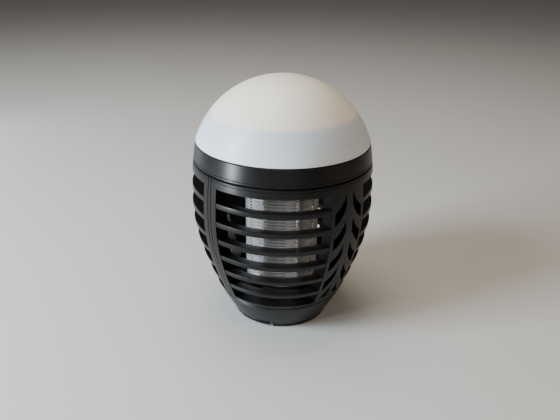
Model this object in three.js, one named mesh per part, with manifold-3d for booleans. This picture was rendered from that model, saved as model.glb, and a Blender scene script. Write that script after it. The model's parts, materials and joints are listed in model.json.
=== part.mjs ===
// Egg-shaped electric bug zapper with a lantern dome, a louvred guard cage and a folding hanging bail.
// Millimetres, +Z up, origin at the centre of the underside. Bearings are degrees from -Y towards +X.
import * as THREE from 'three';
import * as BufferGeometryUtils from 'three/addons/utils/BufferGeometryUtils.js';
import Module from 'manifold-3d';

const wasm = await Module();
wasm.setup();

// Heights of the stacked shells
const footHeight = 2.5;
const baseHeight = 14;
const cageHeight = 67.9;
const shoulderHeight = 9.1;
const domeHeight = 30;

// Outside radii
const baseRadius = 26.1;
const widestRadius = 45;
const rimRadius = 42;
const widestAboveCage = 45.5;
const domeCentreBelowRim = 13.2;

// How far the handles of the two body curves reach from the base, the widest level and the rim
const bulge = { baseOut: 10.1, baseUp: 18, widestDown: 18, widestUp: 11, rimOut: 1.9, rimDown: 9.6 };

// Clearances
const seam = 0.3;
const slip = 0.3;
const cutMargin = 3;

// Walls
const shellWall = 2;
const shoulderWall = 2.2;
const domeWall = 2;
const deckThickness = 2;
const floorThickness = 1.6;

// Guard cage
const ribDepth = 7.1;
const slotCount = 7;
const bladeThickness = 2.5;
const bladeDrop = 1.5;
const bladeSetBack = 0.1;
const stileWidth = 1.8;
const sillHeight = 2.2;
const headHeight = 4.3;
const pillarBearings = [-45, 135];
const pillarWidth = 11.6;
const columnBearings = [45, 225];
const columnWidth = 27;
const chevronDepth = 5;
const columnRim = 2.4;
const pocketWall = 2;

// Chevron grooves of the two herringbone columns
const chevronCount = 5;
const chevronOverrun = 1.6;
const chevronFall = 8.7;
const chevronOpening = 6.2;
const spineWidth = 4.2;
const chevronSteps = 3;
const chevronKnee = { across: 0.3, down: 0.66 };

// Zapping coil and the light tube inside it
const coilRadius = 18.2;
const wireRadius = 0.35;
const coilPitch = 3.2;
const coilEndGap = 1.2;
const formerRibs = 6;
const firstRibBearing = -30;
const formerRibWidth = 1.6;
const formerRibDepth = 1.4;
const formerRingWall = 2.8;
const collarHeight = 4;
const collarWall = 2.2;
const lightTubeWall = 1.6;
const uvBoard = { width: 12, thickness: 1.6, endGap: 3 };
const uvLed = { width: 3.5, thickness: 1.6, rows: 3 };

// Lantern and battery
const battery = { length: 50, width: 30, height: 8, offset: -6.5 };
const lantern = { boardRadius: 22, boardThickness: 1.2 };
const lanternLed = { count: 6, circle: 15, size: 3.5, height: 1.4 };
const reflector = { flatRadius: 29, rise: 2.5, thickness: 1.5, aboveBattery: 1.4 };
const skirtDepth = 3.5;
const skirtWall = 1.6;
const seal = { width: 1.4, height: 1.1 };

// Electronics in the base
const board = { radius: 17, thickness: 1.2, aboveFloor: 2.5, tongueWidth: 9 };
const transformer = { length: 10, width: 8, height: 3.4, x: 4 };
const capacitor = { length: 9, radius: 1.7, x: -6, y: -7 };
const socket = { width: 8, height: 2.8, length: 8.5, overhang: 4, wall: 0.5 };
const port = { width: 9.4, height: 5 };
const bezel = { width: 18, underPort: 2.4, proud: 0.1, depth: 4.6 };
const cover = { width: 14, overlap: 1.3, thickness: 1.4, barrel: 0.9 };
const lead = { radius: 1.2, wallGap: 0.85 };

// Buttons under the base
const button = { radius: 4.2, proud: 1.4, flange: 5, flangeHeight: 0.6, spread: 6.8, travel: 0.35 };
const switchBlock = { size: 4.5, gap: 0.15 };

// Screws
const screw = { shank: 1.1, head: 2.2, headHeight: 1.3 };
const shoulderScrews = { headGap: 0.4, toFlange: 3, bearings: [0, 120, 240], depth: 3 };
const baseScrews = { gap: 2, bearings: [0, 120, 240], bossRadius: 2.7, depth: 8 };

// Underside: foot ring and folding bail
const undersideRecess = 2;
const rimRing = { inset: 0.5, width: 3.3, bottom: 1.2 };
const foot = { inset: 0.3, height: 0.9 };
const bail = { bearing: -25, gap: 0.4, width: 3.1, height: 2.6, eyeInset: 0.15 };
const bailPin = { radius: 0.7, wall: 0.8, overhang: 0.8 };
const lip = { proud: 0.5, height: 2, root: 1, halfAngle: 16, clearance: 2.5, footGap: 1 };

// Fineness
const roundSegments = 40;
const ringSegments = 48;
const discSegments = 36;
const capSegments = 28;
const smallSegments = 16;
const wireSides = 4;
const bisections = 40;
const profileSteps = 5;
const coilSegments = 12;

// Levels worked out from the stack
const baseBottom = footHeight;
const cageBottom = baseBottom + baseHeight;
const cageTop = cageBottom + cageHeight;
const shoulderTop = cageTop + shoulderHeight;
const overallHeight = shoulderTop + domeHeight;
const widestLevel = cageBottom + widestAboveCage;
const windowBottom = cageBottom + sillHeight;
const windowTop = cageTop - headHeight;
const undersideLevel = baseBottom + undersideRecess;
const floorTop = undersideLevel + floorThickness;
const deckTop = cageBottom - seam;
const deckBottom = deckTop - deckThickness;
const upperDeckBottom = cageTop - seam - deckThickness;
const shoulderFloorTop = cageTop + seam + shellWall;
const boardBottom = floorTop + board.aboveFloor;
const boardTop = boardBottom + board.thickness;
const formerRadius = coilRadius - wireRadius - slip + formerRibDepth / 2;
const formerInner = formerRadius - formerRingWall;
const lightTubeRadius = formerInner - slip;
const tubeInner = lightTubeRadius - lightTubeWall;
const leadReach = tubeInner - lead.radius - lead.wallGap;
const chevronPitch = (windowTop - windowBottom + chevronOverrun) / chevronCount;
const rimOuter = baseRadius - rimRing.inset;
const rimInner = rimOuter - rimRing.width;
const bailOuter = rimInner - bail.gap;
const bailInner = bailOuter - bail.width;
const lipReach = baseRadius + lip.proud;
const baseScrewCircle = bailInner - bailPin.overhang - screw.head - baseScrews.gap;
const buttonY = -baseScrewCircle / 3;
const transformerBack = baseScrewCircle / 2 - baseScrews.bossRadius - 2 * slip;

const group = new THREE.Group();
const degrees = THREE.MathUtils.degToRad;

const finishes = {
  blackShell: { color: 0x1a1a1c, roughness: 0.42, metalness: 0 },
  blackInner: { color: 0x141416, roughness: 0.6, metalness: 0 },
  opalDome: { color: 0xdcdad2, roughness: 0.35, metalness: 0 },
  whitePlastic: { color: 0xe8e8e4, roughness: 0.5, metalness: 0 },
  clearTube: { color: 0xb9bec4, roughness: 0.2, metalness: 0 },
  former: { color: 0x9a9ea2, roughness: 0.4, metalness: 0 },
  steel: { color: 0xb4b6b8, roughness: 0.28, metalness: 1 },
  board: { color: 0x14532d, roughness: 0.5, metalness: 0 },
  led: { color: 0xf2e9b0, roughness: 0.3, metalness: 0 },
  uvLed: { color: 0xc9b8ee, roughness: 0.3, metalness: 0 },
  rubber: { color: 0x17181a, roughness: 0.85, metalness: 0 },
  wrap: { color: 0x2c5f9e, roughness: 0.45, metalness: 0 },
  ferrite: { color: 0x3a3a3c, roughness: 0.7, metalness: 0 },
  buttonCap: { color: 0x2c2d30, roughness: 0.5, metalness: 0 },
};

function addMesh(name, shape, finish) {
  const geometry = shape.isBufferGeometry ? shape : geometryOf(shape);
  geometry.computeVertexNormals();
  const mesh = new THREE.Mesh(geometry, new THREE.MeshStandardMaterial(finishes[finish]));
  mesh.name = name;
  group.add(mesh);
  return mesh;
}

// Turns a closed three.js geometry into a solid, with its faces pointing out
function solidOf(geometry) {
  const bare = geometry.clone();
  bare.deleteAttribute('normal');
  bare.deleteAttribute('uv');
  const merged = BufferGeometryUtils.mergeVertices(bare, 1e-4);
  const corners = merged.attributes.position;
  const vertProperties = Float32Array.from(corners.array);
  let triVerts = [];
  let volume = 0;
  const [a, b, c] = [new THREE.Vector3(), new THREE.Vector3(), new THREE.Vector3()];
  for (let i = 0; i < merged.index.count; i += 3) {
    const corner = [0, 1, 2].map((k) => merged.index.getX(i + k));
    if (new Set(corner).size < 3) continue;
    triVerts.push(...corner);
    a.fromBufferAttribute(corners, corner[0]);
    b.fromBufferAttribute(corners, corner[1]);
    c.fromBufferAttribute(corners, corner[2]);
    volume += a.dot(b.cross(c));
  }
  if (volume < 0) triVerts = triVerts.reverse();
  const mesh = new wasm.Mesh({ numProp: 3, vertProperties, triVerts: Uint32Array.from(triVerts) });
  return new wasm.Manifold(mesh);
}

function geometryOf(solid) {
  const mesh = solid.getMesh();
  const geometry = new THREE.BufferGeometry();
  geometry.setAttribute('position', new THREE.BufferAttribute(Float32Array.from(mesh.vertProperties), 3));
  geometry.setIndex(new THREE.BufferAttribute(Uint32Array.from(mesh.triVerts), 1));
  return geometry;
}

const join = (first, ...others) => others.reduce((whole, next) => whole.add(next), first);
const cut = (first, ...tools) => tools.reduce((whole, tool) => whole.subtract(tool), first);

// A ring or disc with the given outline of [radius, height] points, turned about Z
function turned(outline, segments = roundSegments) {
  const points = [...outline, outline[0]].map(([radius, height]) => new THREE.Vector2(radius, height));
  return solidOf(new THREE.LatheGeometry(points, segments).rotateX(Math.PI / 2));
}

// The part of such a ring between two bearings, closed at both ends. Its outline runs anticlockwise
function sector(outline, from, to) {
  const steps = Math.max(1, Math.ceil(Math.abs(to - from) / (360 / roundSegments)));
  const row = outline.length;
  const positions = [];
  for (let i = 0; i <= steps; i++) {
    const bearing = degrees(from + ((to - from) * i) / steps);
    for (const [radius, height] of outline) {
      positions.push(radius * Math.sin(bearing), -radius * Math.cos(bearing), height);
    }
  }
  const index = [];
  for (let i = 0; i < steps; i++) {
    for (let k = 0; k < row; k++) {
      const next = (k + 1) % row;
      const [a, b] = [i * row + k, i * row + next];
      index.push(a, b, b + row, a, b + row, a + row);
    }
  }
  const contour = outline.map(([radius, height]) => new THREE.Vector2(radius, height));
  const last = steps * row;
  for (const [a, b, c] of THREE.ShapeUtils.triangulateShape(contour, [])) {
    index.push(a, c, b, a + last, b + last, c + last);
  }
  return solidFromArrays(positions, index);
}

// A prism that runs outwards from the axis, whose outline is [bearing, height] points
function radialPrism(outline, inner, outer) {
  const count = outline.length;
  const positions = [];
  for (const radius of [inner, outer]) {
    for (const [bearing, height] of outline) {
      positions.push(radius * Math.sin(degrees(bearing)), -radius * Math.cos(degrees(bearing)), height);
    }
  }
  const index = [];
  for (let k = 0; k < count; k++) {
    const next = (k + 1) % count;
    index.push(k, next, next + count, k, next + count, k + count);
  }
  const contour = outline.map(([bearing, height]) => new THREE.Vector2(bearing, height));
  for (const [a, b, c] of THREE.ShapeUtils.triangulateShape(contour, [])) {
    index.push(a, c, b, a + count, b + count, c + count);
  }
  return solidFromArrays(positions, index);
}

function solidFromArrays(positions, index) {
  const geometry = new THREE.BufferGeometry();
  geometry.setAttribute('position', new THREE.Float32BufferAttribute(positions, 3));
  geometry.setIndex(index);
  return solidOf(geometry);
}

function rod(radius, bottom, top, x = 0, y = 0, segments = smallSegments) {
  const geometry = new THREE.CylinderGeometry(radius, radius, top - bottom, segments);
  return solidOf(geometry.rotateX(Math.PI / 2).translate(x, y, (top + bottom) / 2));
}

// A rod that lies along a bearing, from one distance from the axis to another
function radialRod(radius, bearing, from, to, level) {
  const geometry = new THREE.CylinderGeometry(radius, radius, to - from, smallSegments);
  geometry.translate(0, -(from + to) / 2, 0).rotateZ(degrees(bearing)).translate(0, 0, level);
  return solidOf(geometry);
}

function block(low, high) {
  const size = high.map((value, axis) => value - low[axis]);
  const geometry = new THREE.BoxGeometry(...size);
  return solidOf(geometry.translate(...low.map((value, axis) => value + size[axis] / 2)));
}

function onCircle(circle, bearing) {
  return [circle * Math.sin(degrees(bearing)), -circle * Math.cos(degrees(bearing))];
}

// Outside profile of base, cage and shoulder: two curves that meet at the widest level
const lowerCurve = new THREE.CubicBezierCurve(
  new THREE.Vector2(baseRadius, baseBottom),
  new THREE.Vector2(baseRadius + bulge.baseOut, baseBottom + bulge.baseUp),
  new THREE.Vector2(widestRadius, widestLevel - bulge.widestDown),
  new THREE.Vector2(widestRadius, widestLevel),
);
const upperCurve = new THREE.CubicBezierCurve(
  new THREE.Vector2(widestRadius, widestLevel),
  new THREE.Vector2(widestRadius, widestLevel + bulge.widestUp),
  new THREE.Vector2(rimRadius + bulge.rimOut, shoulderTop - bulge.rimDown),
  new THREE.Vector2(rimRadius, shoulderTop),
);

function bodyRadius(level) {
  const curve = level < widestLevel ? lowerCurve : upperCurve;
  let [low, high] = [0, 1];
  for (let i = 0; i < bisections; i++) {
    const middle = (low + high) / 2;
    if (curve.getPoint(middle).y < level) low = middle;
    else high = middle;
  }
  return curve.getPoint(low).x;
}

// Points of the body profile between two levels, moved in by an offset
function profile(from, to, inset, steps) {
  const points = [];
  for (let i = 0; i <= steps; i++) {
    const level = from + ((to - from) * i) / steps;
    points.push([bodyRadius(level) - inset, level]);
  }
  return points;
}

function domeRadius(level, inset) {
  const centre = shoulderTop - domeCentreBelowRim;
  const share = (shoulderTop - centre) / (overallHeight - centre);
  const across = rimRadius / Math.sqrt(1 - share * share) - inset;
  const up = overallHeight - centre - inset;
  return across * Math.sqrt(Math.max(0, 1 - ((level - centre) / up) ** 2));
}

function domeProfile(inset, from, steps) {
  const top = overallHeight - inset;
  const points = [];
  for (let i = 0; i <= steps; i++) {
    const level = from + (top - from) * Math.sin((Math.PI / 2) * (i / steps));
    points.push([i === steps ? 0 : domeRadius(level, inset), level]);
  }
  return points;
}

// Dome, seal and lantern
const shoulderBore = rimRadius - shoulderWall;
const skirtRadius = shoulderBore - slip;
const domeBottom = shoulderTop + seam;
const skirtBottom = shoulderTop - skirtDepth;
const domeSteps = 9;
const innerDome = domeProfile(domeWall, domeBottom + domeWall, domeSteps).reverse();
addMesh('dome_diffuser', turned([
  [skirtRadius - skirtWall, skirtBottom],
  [skirtRadius, skirtBottom],
  [skirtRadius, domeBottom],
  ...domeProfile(0, domeBottom, domeSteps),
  ...innerDome,
  [skirtRadius - skirtWall, domeBottom + domeWall],
]), 'opalDome');

const sealTop = skirtBottom - seam;
const ledgeTop = sealTop - seal.height - seam;
addMesh('dome_seal', turned([
  [skirtRadius - seal.width, sealTop - seal.height],
  [skirtRadius, sealTop - seal.height],
  [skirtRadius, sealTop],
  [skirtRadius - seal.width, sealTop],
]), 'rubber');

const batteryBottom = shoulderFloorTop + seam;
const batteryTop = batteryBottom + battery.height;
const reflectorBottom = batteryTop + reflector.aboveBattery;
const reflectorTop = reflectorBottom + reflector.thickness;
const reflectorEdge = skirtRadius - skirtWall - 2 * slip;
addMesh('lantern_reflector', turned([
  [0, reflectorBottom],
  [reflector.flatRadius, reflectorBottom],
  [reflectorEdge, reflectorBottom - reflector.rise],
  [reflectorEdge, reflectorTop - reflector.rise],
  [reflector.flatRadius, reflectorTop],
  [0, reflectorTop],
]), 'whitePlastic');

const lanternTop = reflectorTop + seam + lantern.boardThickness;
const lanternDisc = rod(lantern.boardRadius, reflectorTop + seam, lanternTop, 0, 0, discSegments);
addMesh('lantern_board', lanternDisc, 'board');
for (let i = 0; i < lanternLed.count; i++) {
  const [x, y] = onCircle(lanternLed.circle, (360 / lanternLed.count) * i);
  const half = lanternLed.size / 2;
  const bottom = lanternTop + seam;
  const led = block([x - half, y - half, bottom], [x + half, y + half, bottom + lanternLed.height]);
  addMesh(`lantern_led_${i + 1}`, led, 'led');
}

// Shoulder ring with its floor, the battery on it and the screws through it
const shoulderBottom = cageTop + seam;
const ledgeRadius = skirtRadius - seal.width - 2 * slip;
const shoulderCircle = ledgeRadius - screw.head - shoulderScrews.headGap;
const flangeRadius = shoulderCircle - shoulderScrews.toFlange;
const leadWell = rod(lead.radius + slip, 0, overallHeight, 0, leadReach);
const shoulderHoles = shoulderScrews.bearings.map((bearing) => {
  const [x, y] = onCircle(shoulderCircle, bearing);
  return rod(screw.shank + slip, cageTop - shoulderScrews.depth - slip, shoulderTop, x, y);
});
const shoulderShell = turned([
  [0, shoulderBottom],
  ...profile(shoulderBottom, shoulderTop, 0, profileSteps),
  [shoulderBore, shoulderTop],
  [shoulderBore, ledgeTop],
  [ledgeRadius, ledgeTop],
  [ledgeRadius, shoulderFloorTop],
  [0, shoulderFloorTop],
]);
addMesh('shoulder_ring', cut(shoulderShell, leadWell, ...shoulderHoles), 'blackShell');
addMesh('battery_pack', block(
  [-battery.length / 2, battery.offset - battery.width / 2, batteryBottom],
  [battery.length / 2, battery.offset + battery.width / 2, batteryTop],
), 'wrap');
shoulderScrews.bearings.forEach((bearing, i) => {
  const [x, y] = onCircle(shoulderCircle, bearing);
  const seat = shoulderFloorTop + seam;
  const shank = rod(screw.shank, cageTop - shoulderScrews.depth, seat + screw.headHeight / 2, x, y);
  const head = rod(screw.head, seat, seat + screw.headHeight, x, y);
  addMesh(`shoulder_screw_${i + 1}`, join(head, shank), 'steel');
});

// Guard cage: a thick ring with four windows, and a plain pillar or a herringbone column between them.
// A louvre panel fills each window
const slotHeight = (windowTop - windowBottom - (slotCount - 1) * bladeThickness) / slotCount;
const bladePitch = slotHeight + bladeThickness;
const seamBearing = THREE.MathUtils.radToDeg(seam / bodyRadius(windowBottom));

// One louvre blade between two bearings. Its faces fall towards the inside
function blade(number, from, to) {
  const low = windowBottom + number * bladePitch - bladeThickness;
  const high = low + bladeThickness;
  const [lowFace, highFace] = [bodyRadius(low) - bladeSetBack, bodyRadius(high) - bladeSetBack];
  return sector([
    [lowFace - ribDepth + 2 * bladeSetBack, low - bladeDrop],
    [lowFace, low],
    [highFace, high],
    [highFace - ribDepth + 2 * bladeSetBack, high - bladeDrop],
  ], from, to);
}

// Six blades held by a stile at each end
function louvrePanel(from, to) {
  const bottom = windowBottom + seam;
  const top = windowTop - seam;
  const front = profile(bottom, top, 0, 2 * profileSteps);
  const back = profile(bottom, top, ribDepth, 2 * profileSteps).reverse();
  const left = from + seamBearing;
  const right = to - seamBearing;
  const pieces = [
    sector([...front, ...back], left, left + stileWidth),
    sector([...front, ...back], right - stileWidth, right),
  ];
  for (let number = 1; number < slotCount; number++) {
    pieces.push(blade(number, left + stileWidth / 2, right - stileWidth / 2));
  }
  return join(...pieces);
}

function windowCutter(from, to) {
  return sector([
    [baseRadius - ribDepth - cutMargin, windowBottom],
    [widestRadius + cutMargin, windowBottom],
    [widestRadius + cutMargin, windowTop],
    [baseRadius - ribDepth - cutMargin, windowTop],
  ], from, to);
}

// Hollow behind a pillar that leaves a wall at its front and at both sides
function pocketCutter(bearing, width, wall) {
  const side = THREE.MathUtils.radToDeg(pocketWall / (widestRadius - ribDepth));
  const half = width / 2 - side;
  const outline = profile(windowBottom + pocketWall, windowTop - pocketWall, wall, profileSteps);
  const back = profile(windowBottom + pocketWall, windowTop - pocketWall, ribDepth + cutMargin, profileSteps);
  return sector([...outline, ...back.reverse()], bearing - half, bearing + half);
}

// One leg of a chevron groove: it starts at the spine and falls along a curve to the column's rim
function chevronCutter(bearing, side, level) {
  const bearingPerMm = THREE.MathUtils.radToDeg(1 / widestRadius);
  const start = (spineWidth / 2) * bearingPerMm;
  const end = columnWidth / 2 - columnRim;
  const leg = new THREE.QuadraticBezierCurve(
    new THREE.Vector2(start, 0),
    new THREE.Vector2(start + (end - start) * chevronKnee.across, -chevronFall * chevronKnee.down),
    new THREE.Vector2(end, -chevronFall),
  ).getPoints(chevronSteps);
  const upper = leg.map((p) => [bearing + side * p.x, level + p.y]);
  const lower = leg.map((p) => [bearing + side * p.x, level - chevronOpening + p.y]).reverse();
  const outline = [...upper, ...lower];
  if (side > 0) outline.reverse();
  return radialPrism(outline, baseRadius - ribDepth, widestRadius + cutMargin);
}

// Posts in order of bearing, and the windows between them
const posts = [
  ...pillarBearings.map((bearing) => ({ bearing, width: pillarWidth })),
  ...columnBearings.map((bearing) => ({ bearing, width: columnWidth })),
].sort((a, b) => a.bearing - b.bearing);
const windows = posts.map(({ bearing, width }, i) => {
  const next = posts[(i + 1) % posts.length];
  const turn = i === posts.length - 1 ? 360 : 0;
  return { from: bearing + width / 2, to: next.bearing - next.width / 2 + turn };
});

function makeCage() {
  const levels = profileSteps * 2;
  const shell = turned([
    ...profile(cageBottom, cageTop, 0, levels),
    [flangeRadius, cageTop],
    [flangeRadius, windowTop],
    ...profile(cageBottom, windowTop, ribDepth, levels).reverse(),
  ]);
  const tools = windows.map(({ from, to }) => windowCutter(from, to));
  for (const bearing of pillarBearings) tools.push(pocketCutter(bearing, pillarWidth, pocketWall));
  for (const bearing of columnBearings) {
    const low = windowBottom + pocketWall;
    const zone = sector([
      ...profile(low, windowTop, chevronDepth, profileSteps).reverse(),
      [widestRadius + cutMargin, low],
      [widestRadius + cutMargin, windowTop],
    ], bearing - columnWidth / 2, bearing + columnWidth / 2);
    for (let number = 0; number < chevronCount; number++) {
      for (const side of [-1, 1]) {
        tools.push(chevronCutter(bearing, side, windowTop - seam - number * chevronPitch).intersect(zone));
      }
    }
  }
  return cut(shell, ...tools, ...shoulderHoles);
}
addMesh('guard_cage', makeCage(), 'blackShell');
['front', 'right', 'back', 'left'].forEach((side, i) => {
  addMesh(`${side}_louvres`, louvrePanel(windows[i].from, windows[i].to), 'blackShell');
});

// Decks that close the cage above and below, each with a collar for the coil former
const collarInner = formerRadius + slip;
const collarOuter = collarInner + collarWall;
const collarTop = deckTop + collarHeight;
const upperCollarBottom = upperDeckBottom - collarHeight / 2;
const deckRadius = bodyRadius(deckBottom) - shellWall - slip;
const deckShell = turned([
  [0, deckBottom],
  [deckRadius, deckBottom],
  [deckRadius, deckTop],
  [collarOuter, deckTop],
  [collarOuter, collarTop],
  [collarInner, collarTop],
  [collarInner, deckTop],
  [0, deckTop],
]);
const baseScrewSpots = baseScrews.bearings.map((bearing) => onCircle(baseScrewCircle, bearing));
const bosses = baseScrewSpots.map(([x, y]) => {
  return rod(baseScrews.bossRadius, floorTop + seam, deckTop - slip, x, y);
});
const bossHoles = baseScrewSpots.map(([x, y]) => {
  return rod(screw.shank + slip, undersideLevel - cutMargin, undersideLevel + baseScrews.depth + slip, x, y);
});
addMesh('lower_deck', cut(join(deckShell, ...bosses), leadWell, ...bossHoles), 'blackInner');
addMesh('upper_deck', cut(turned([
  [0, upperDeckBottom],
  [collarInner, upperDeckBottom],
  [collarInner, upperCollarBottom],
  [collarOuter, upperCollarBottom],
  [collarOuter, upperDeckBottom],
  [flangeRadius - slip, upperDeckBottom],
  [flangeRadius - slip, upperDeckBottom + deckThickness],
  [0, upperDeckBottom + deckThickness],
]), leadWell), 'blackInner');

// Coil former: two rings joined by ribs
const formerBottom = deckTop + seam;
const formerTop = upperDeckBottom - seam;
const ribOuter = coilRadius - wireRadius - slip;

function formerRing(bottom, top) {
  return turned([
    [formerInner, bottom],
    [formerRadius, bottom],
    [formerRadius, top],
    [formerInner, top],
  ], ringSegments);
}

function formerRib(bearing) {
  const half = formerRibWidth / 2;
  const low = [-half, -ribOuter, formerBottom];
  const high = [half, -(ribOuter - formerRibDepth), formerTop];
  return block(low, high).rotate([0, 0, bearing]);
}
const ribs = [];
for (let i = 0; i < formerRibs; i++) ribs.push(formerRib(firstRibBearing + (360 / formerRibs) * i));
addMesh('coil_former', join(
  formerRing(formerBottom, collarTop - coilEndGap),
  formerRing(upperCollarBottom + coilEndGap, formerTop),
  ...ribs,
), 'former');

// Two wires wound side by side: they start half a turn apart, so they lie half a pitch apart
function coilWire(phase) {
  const bottom = collarTop + coilEndGap;
  const top = upperCollarBottom - coilEndGap;
  const turns = Math.floor((top - bottom - 2 * wireRadius) / coilPitch);
  const steps = turns * coilSegments;
  const section = [];
  for (let k = 0; k < wireSides; k++) {
    const angle = degrees((360 / wireSides) * (k + 0.5));
    section.push([wireRadius * Math.cos(angle), wireRadius * Math.sin(angle)]);
  }
  const positions = [];
  for (let i = 0; i <= steps; i++) {
    const bearing = degrees(phase + (360 * i) / coilSegments);
    const level = bottom + wireRadius + (coilPitch * i) / coilSegments;
    for (const [out, up] of section) {
      const radius = coilRadius + out;
      positions.push(radius * Math.sin(bearing), -radius * Math.cos(bearing), level + up);
    }
  }
  const index = [];
  for (let i = 0; i < steps; i++) {
    for (let k = 0; k < wireSides; k++) {
      const [a, b] = [i * wireSides + k, i * wireSides + ((k + 1) % wireSides)];
      index.push(a, b, b + wireSides, a, b + wireSides, a + wireSides);
    }
  }
  const last = steps * wireSides;
  index.push(2, 1, 0, 3, 2, 0, last, last + 1, last + 2, last, last + 2, last + 3);
  return solidFromArrays(positions, index);
}
addMesh('coil_wire_a', coilWire(0), 'steel');
addMesh('coil_wire_b', coilWire(180), 'steel');

// Light tube with the ultraviolet strip inside
addMesh('light_tube', turned([
  [tubeInner, formerBottom],
  [lightTubeRadius, formerBottom],
  [lightTubeRadius, formerTop],
  [tubeInner, formerTop],
], ringSegments), 'clearTube');
const uvBottom = deckTop + uvBoard.endGap;
const uvTop = upperDeckBottom - uvBoard.endGap;
addMesh('uv_board', block(
  [-uvBoard.width / 2, -uvBoard.thickness / 2, uvBottom],
  [uvBoard.width / 2, uvBoard.thickness / 2, uvTop],
), 'board');
for (let i = 0; i < uvLed.rows; i++) {
  const level = uvBottom + ((uvTop - uvBottom) * (i + 0.5)) / uvLed.rows;
  const half = uvLed.width / 2;
  const near = uvBoard.thickness / 2 + seam;
  const far = near + uvLed.thickness;
  addMesh(`uv_led_front_${i + 1}`, block([-half, -far, level - half], [half, -near, level + half]), 'uvLed');
  addMesh(`uv_led_rear_${i + 1}`, block([-half, near, level - half], [half, far, level + half]), 'uvLed');
}
addMesh('power_lead', rod(lead.radius, boardTop + seam, reflectorBottom - seam, 0, leadReach), 'rubber');

// Base cup: tapered wall, floor, rim ring for the foot, and the bezel of the charging port
const wallTop = cageBottom - seam;
const bezelFace = bodyRadius(wallTop) + bezel.proud;
const socketFront = bezelFace - bezel.depth;
const tongueReach = socketFront - socket.overhang;
const portLevel = boardTop + seam + socket.height / 2;
const bezelBottom = portLevel - port.height / 2 - bezel.underPort;
const portHole = block(
  [-port.width / 2, 0, portLevel - port.height / 2],
  [port.width / 2, bezelFace + cutMargin, portLevel + port.height / 2],
);
const cavity = turned([
  [0, floorTop],
  ...profile(floorTop, cageBottom, shellWall, profileSteps),
  [0, cageBottom],
]);
const buttonSpots = [['lamp', -button.spread], ['zapper', button.spread]];
const notchHalf = lip.halfAngle + lip.clearance;
const lipNotch = sector([
  [rimInner - slip, -slip],
  [lipReach + slip, -slip],
  [lipReach + slip, undersideLevel],
  [rimInner - slip, undersideLevel],
], bail.bearing - notchHalf, bail.bearing + notchHalf);
const pinLevel = undersideLevel - seam - bail.height / 2;
const pinBearings = [bail.bearing + 90, bail.bearing - 90];
const pinHoles = pinBearings.map((bearing) => {
  return radialRod(bailPin.radius + slip, bearing, rimInner - cutMargin, rimOuter - bailPin.wall, pinLevel);
});

function makeBase() {
  const outside = turned([
    [0, undersideLevel],
    [rimInner, undersideLevel],
    [rimInner, rimRing.bottom],
    [rimOuter, rimRing.bottom],
    [rimOuter, baseBottom],
    ...profile(baseBottom, wallTop, 0, profileSteps),
    [0, wallTop],
  ]);
  const bump = block([-bezel.width / 2, 0, bezelBottom], [bezel.width / 2, bezelFace, wallTop]);
  const holes = buttonSpots.map(([, x]) => {
    return rod(button.radius + slip, 0, floorTop + cutMargin, x, buttonY, capSegments);
  });
  return cut(join(outside, bump), cavity, portHole, lipNotch, ...pinHoles, ...holes, ...bossHoles);
}
addMesh('base_cup', makeBase(), 'blackShell');

// Control board and what it carries
const boardDisc = rod(board.radius, boardBottom, boardTop, 0, 0, roundSegments);
const tongue = block(
  [-board.tongueWidth / 2, 0, boardBottom],
  [board.tongueWidth / 2, tongueReach, boardTop],
);
const bossClearances = baseScrewSpots.map(([x, y]) => {
  return rod(baseScrews.bossRadius + slip, floorTop, deckBottom, x, y);
});
addMesh('control_board', cut(join(boardDisc, tongue), ...bossClearances), 'board');
const partBottom = boardTop + seam;
addMesh('hv_transformer', block(
  [transformer.x - transformer.length / 2, transformerBack - transformer.width, partBottom],
  [transformer.x + transformer.length / 2, transformerBack, partBottom + transformer.height],
), 'ferrite');
const { radius: canRadius, length: canLength } = capacitor;
const canister = new THREE.CylinderGeometry(canRadius, canRadius, canLength, smallSegments);
canister.translate(capacitor.x, capacitor.y, partBottom + canRadius);
addMesh('hv_capacitor', solidOf(canister), 'wrap');
addMesh('charging_socket', cut(
  block([-socket.width / 2, socketFront - socket.length, partBottom],
    [socket.width / 2, socketFront, partBottom + socket.height]),
  block([-socket.width / 2 + socket.wall, tongueReach, partBottom + socket.wall],
    [socket.width / 2 - socket.wall, bezelFace, partBottom + socket.height - socket.wall]),
), 'steel');

// Buttons, with the switch above each
for (const [name, x] of buttonSpots) {
  const flangeBottom = floorTop + slip;
  const flangeTop = flangeBottom + button.flangeHeight;
  const cap = rod(button.radius, undersideLevel - button.proud, flangeTop, x, buttonY, capSegments);
  const flange = rod(button.flange, flangeBottom, flangeTop, x, buttonY, capSegments);
  addMesh(`${name}_button`, join(cap, flange), 'buttonCap');
  const half = switchBlock.size / 2;
  addMesh(`${name}_switch`, block(
    [x - half, buttonY - half, flangeTop + button.travel + switchBlock.gap],
    [x + half, buttonY + half, boardBottom - seam],
  ), 'ferrite');
}

baseScrewSpots.forEach(([x, y], i) => {
  const seat = undersideLevel - seam;
  const shank = rod(screw.shank, seat - screw.headHeight / 2, undersideLevel + baseScrews.depth, x, y);
  const head = rod(screw.head, seat - screw.headHeight, seat, x, y);
  addMesh(`base_screw_${i + 1}`, join(head, shank), 'steel');
});

// Rubber foot under the rim ring, open where the bail's lip comes out
addMesh('foot_ring', sector([
  [rimInner + foot.inset, 0],
  [rimOuter - foot.inset, 0],
  [rimOuter - foot.inset, foot.height],
  [rimInner + foot.inset, foot.height],
], bail.bearing + notchHalf + lip.footGap, bail.bearing - notchHalf - lip.footGap + 360), 'rubber');

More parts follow.
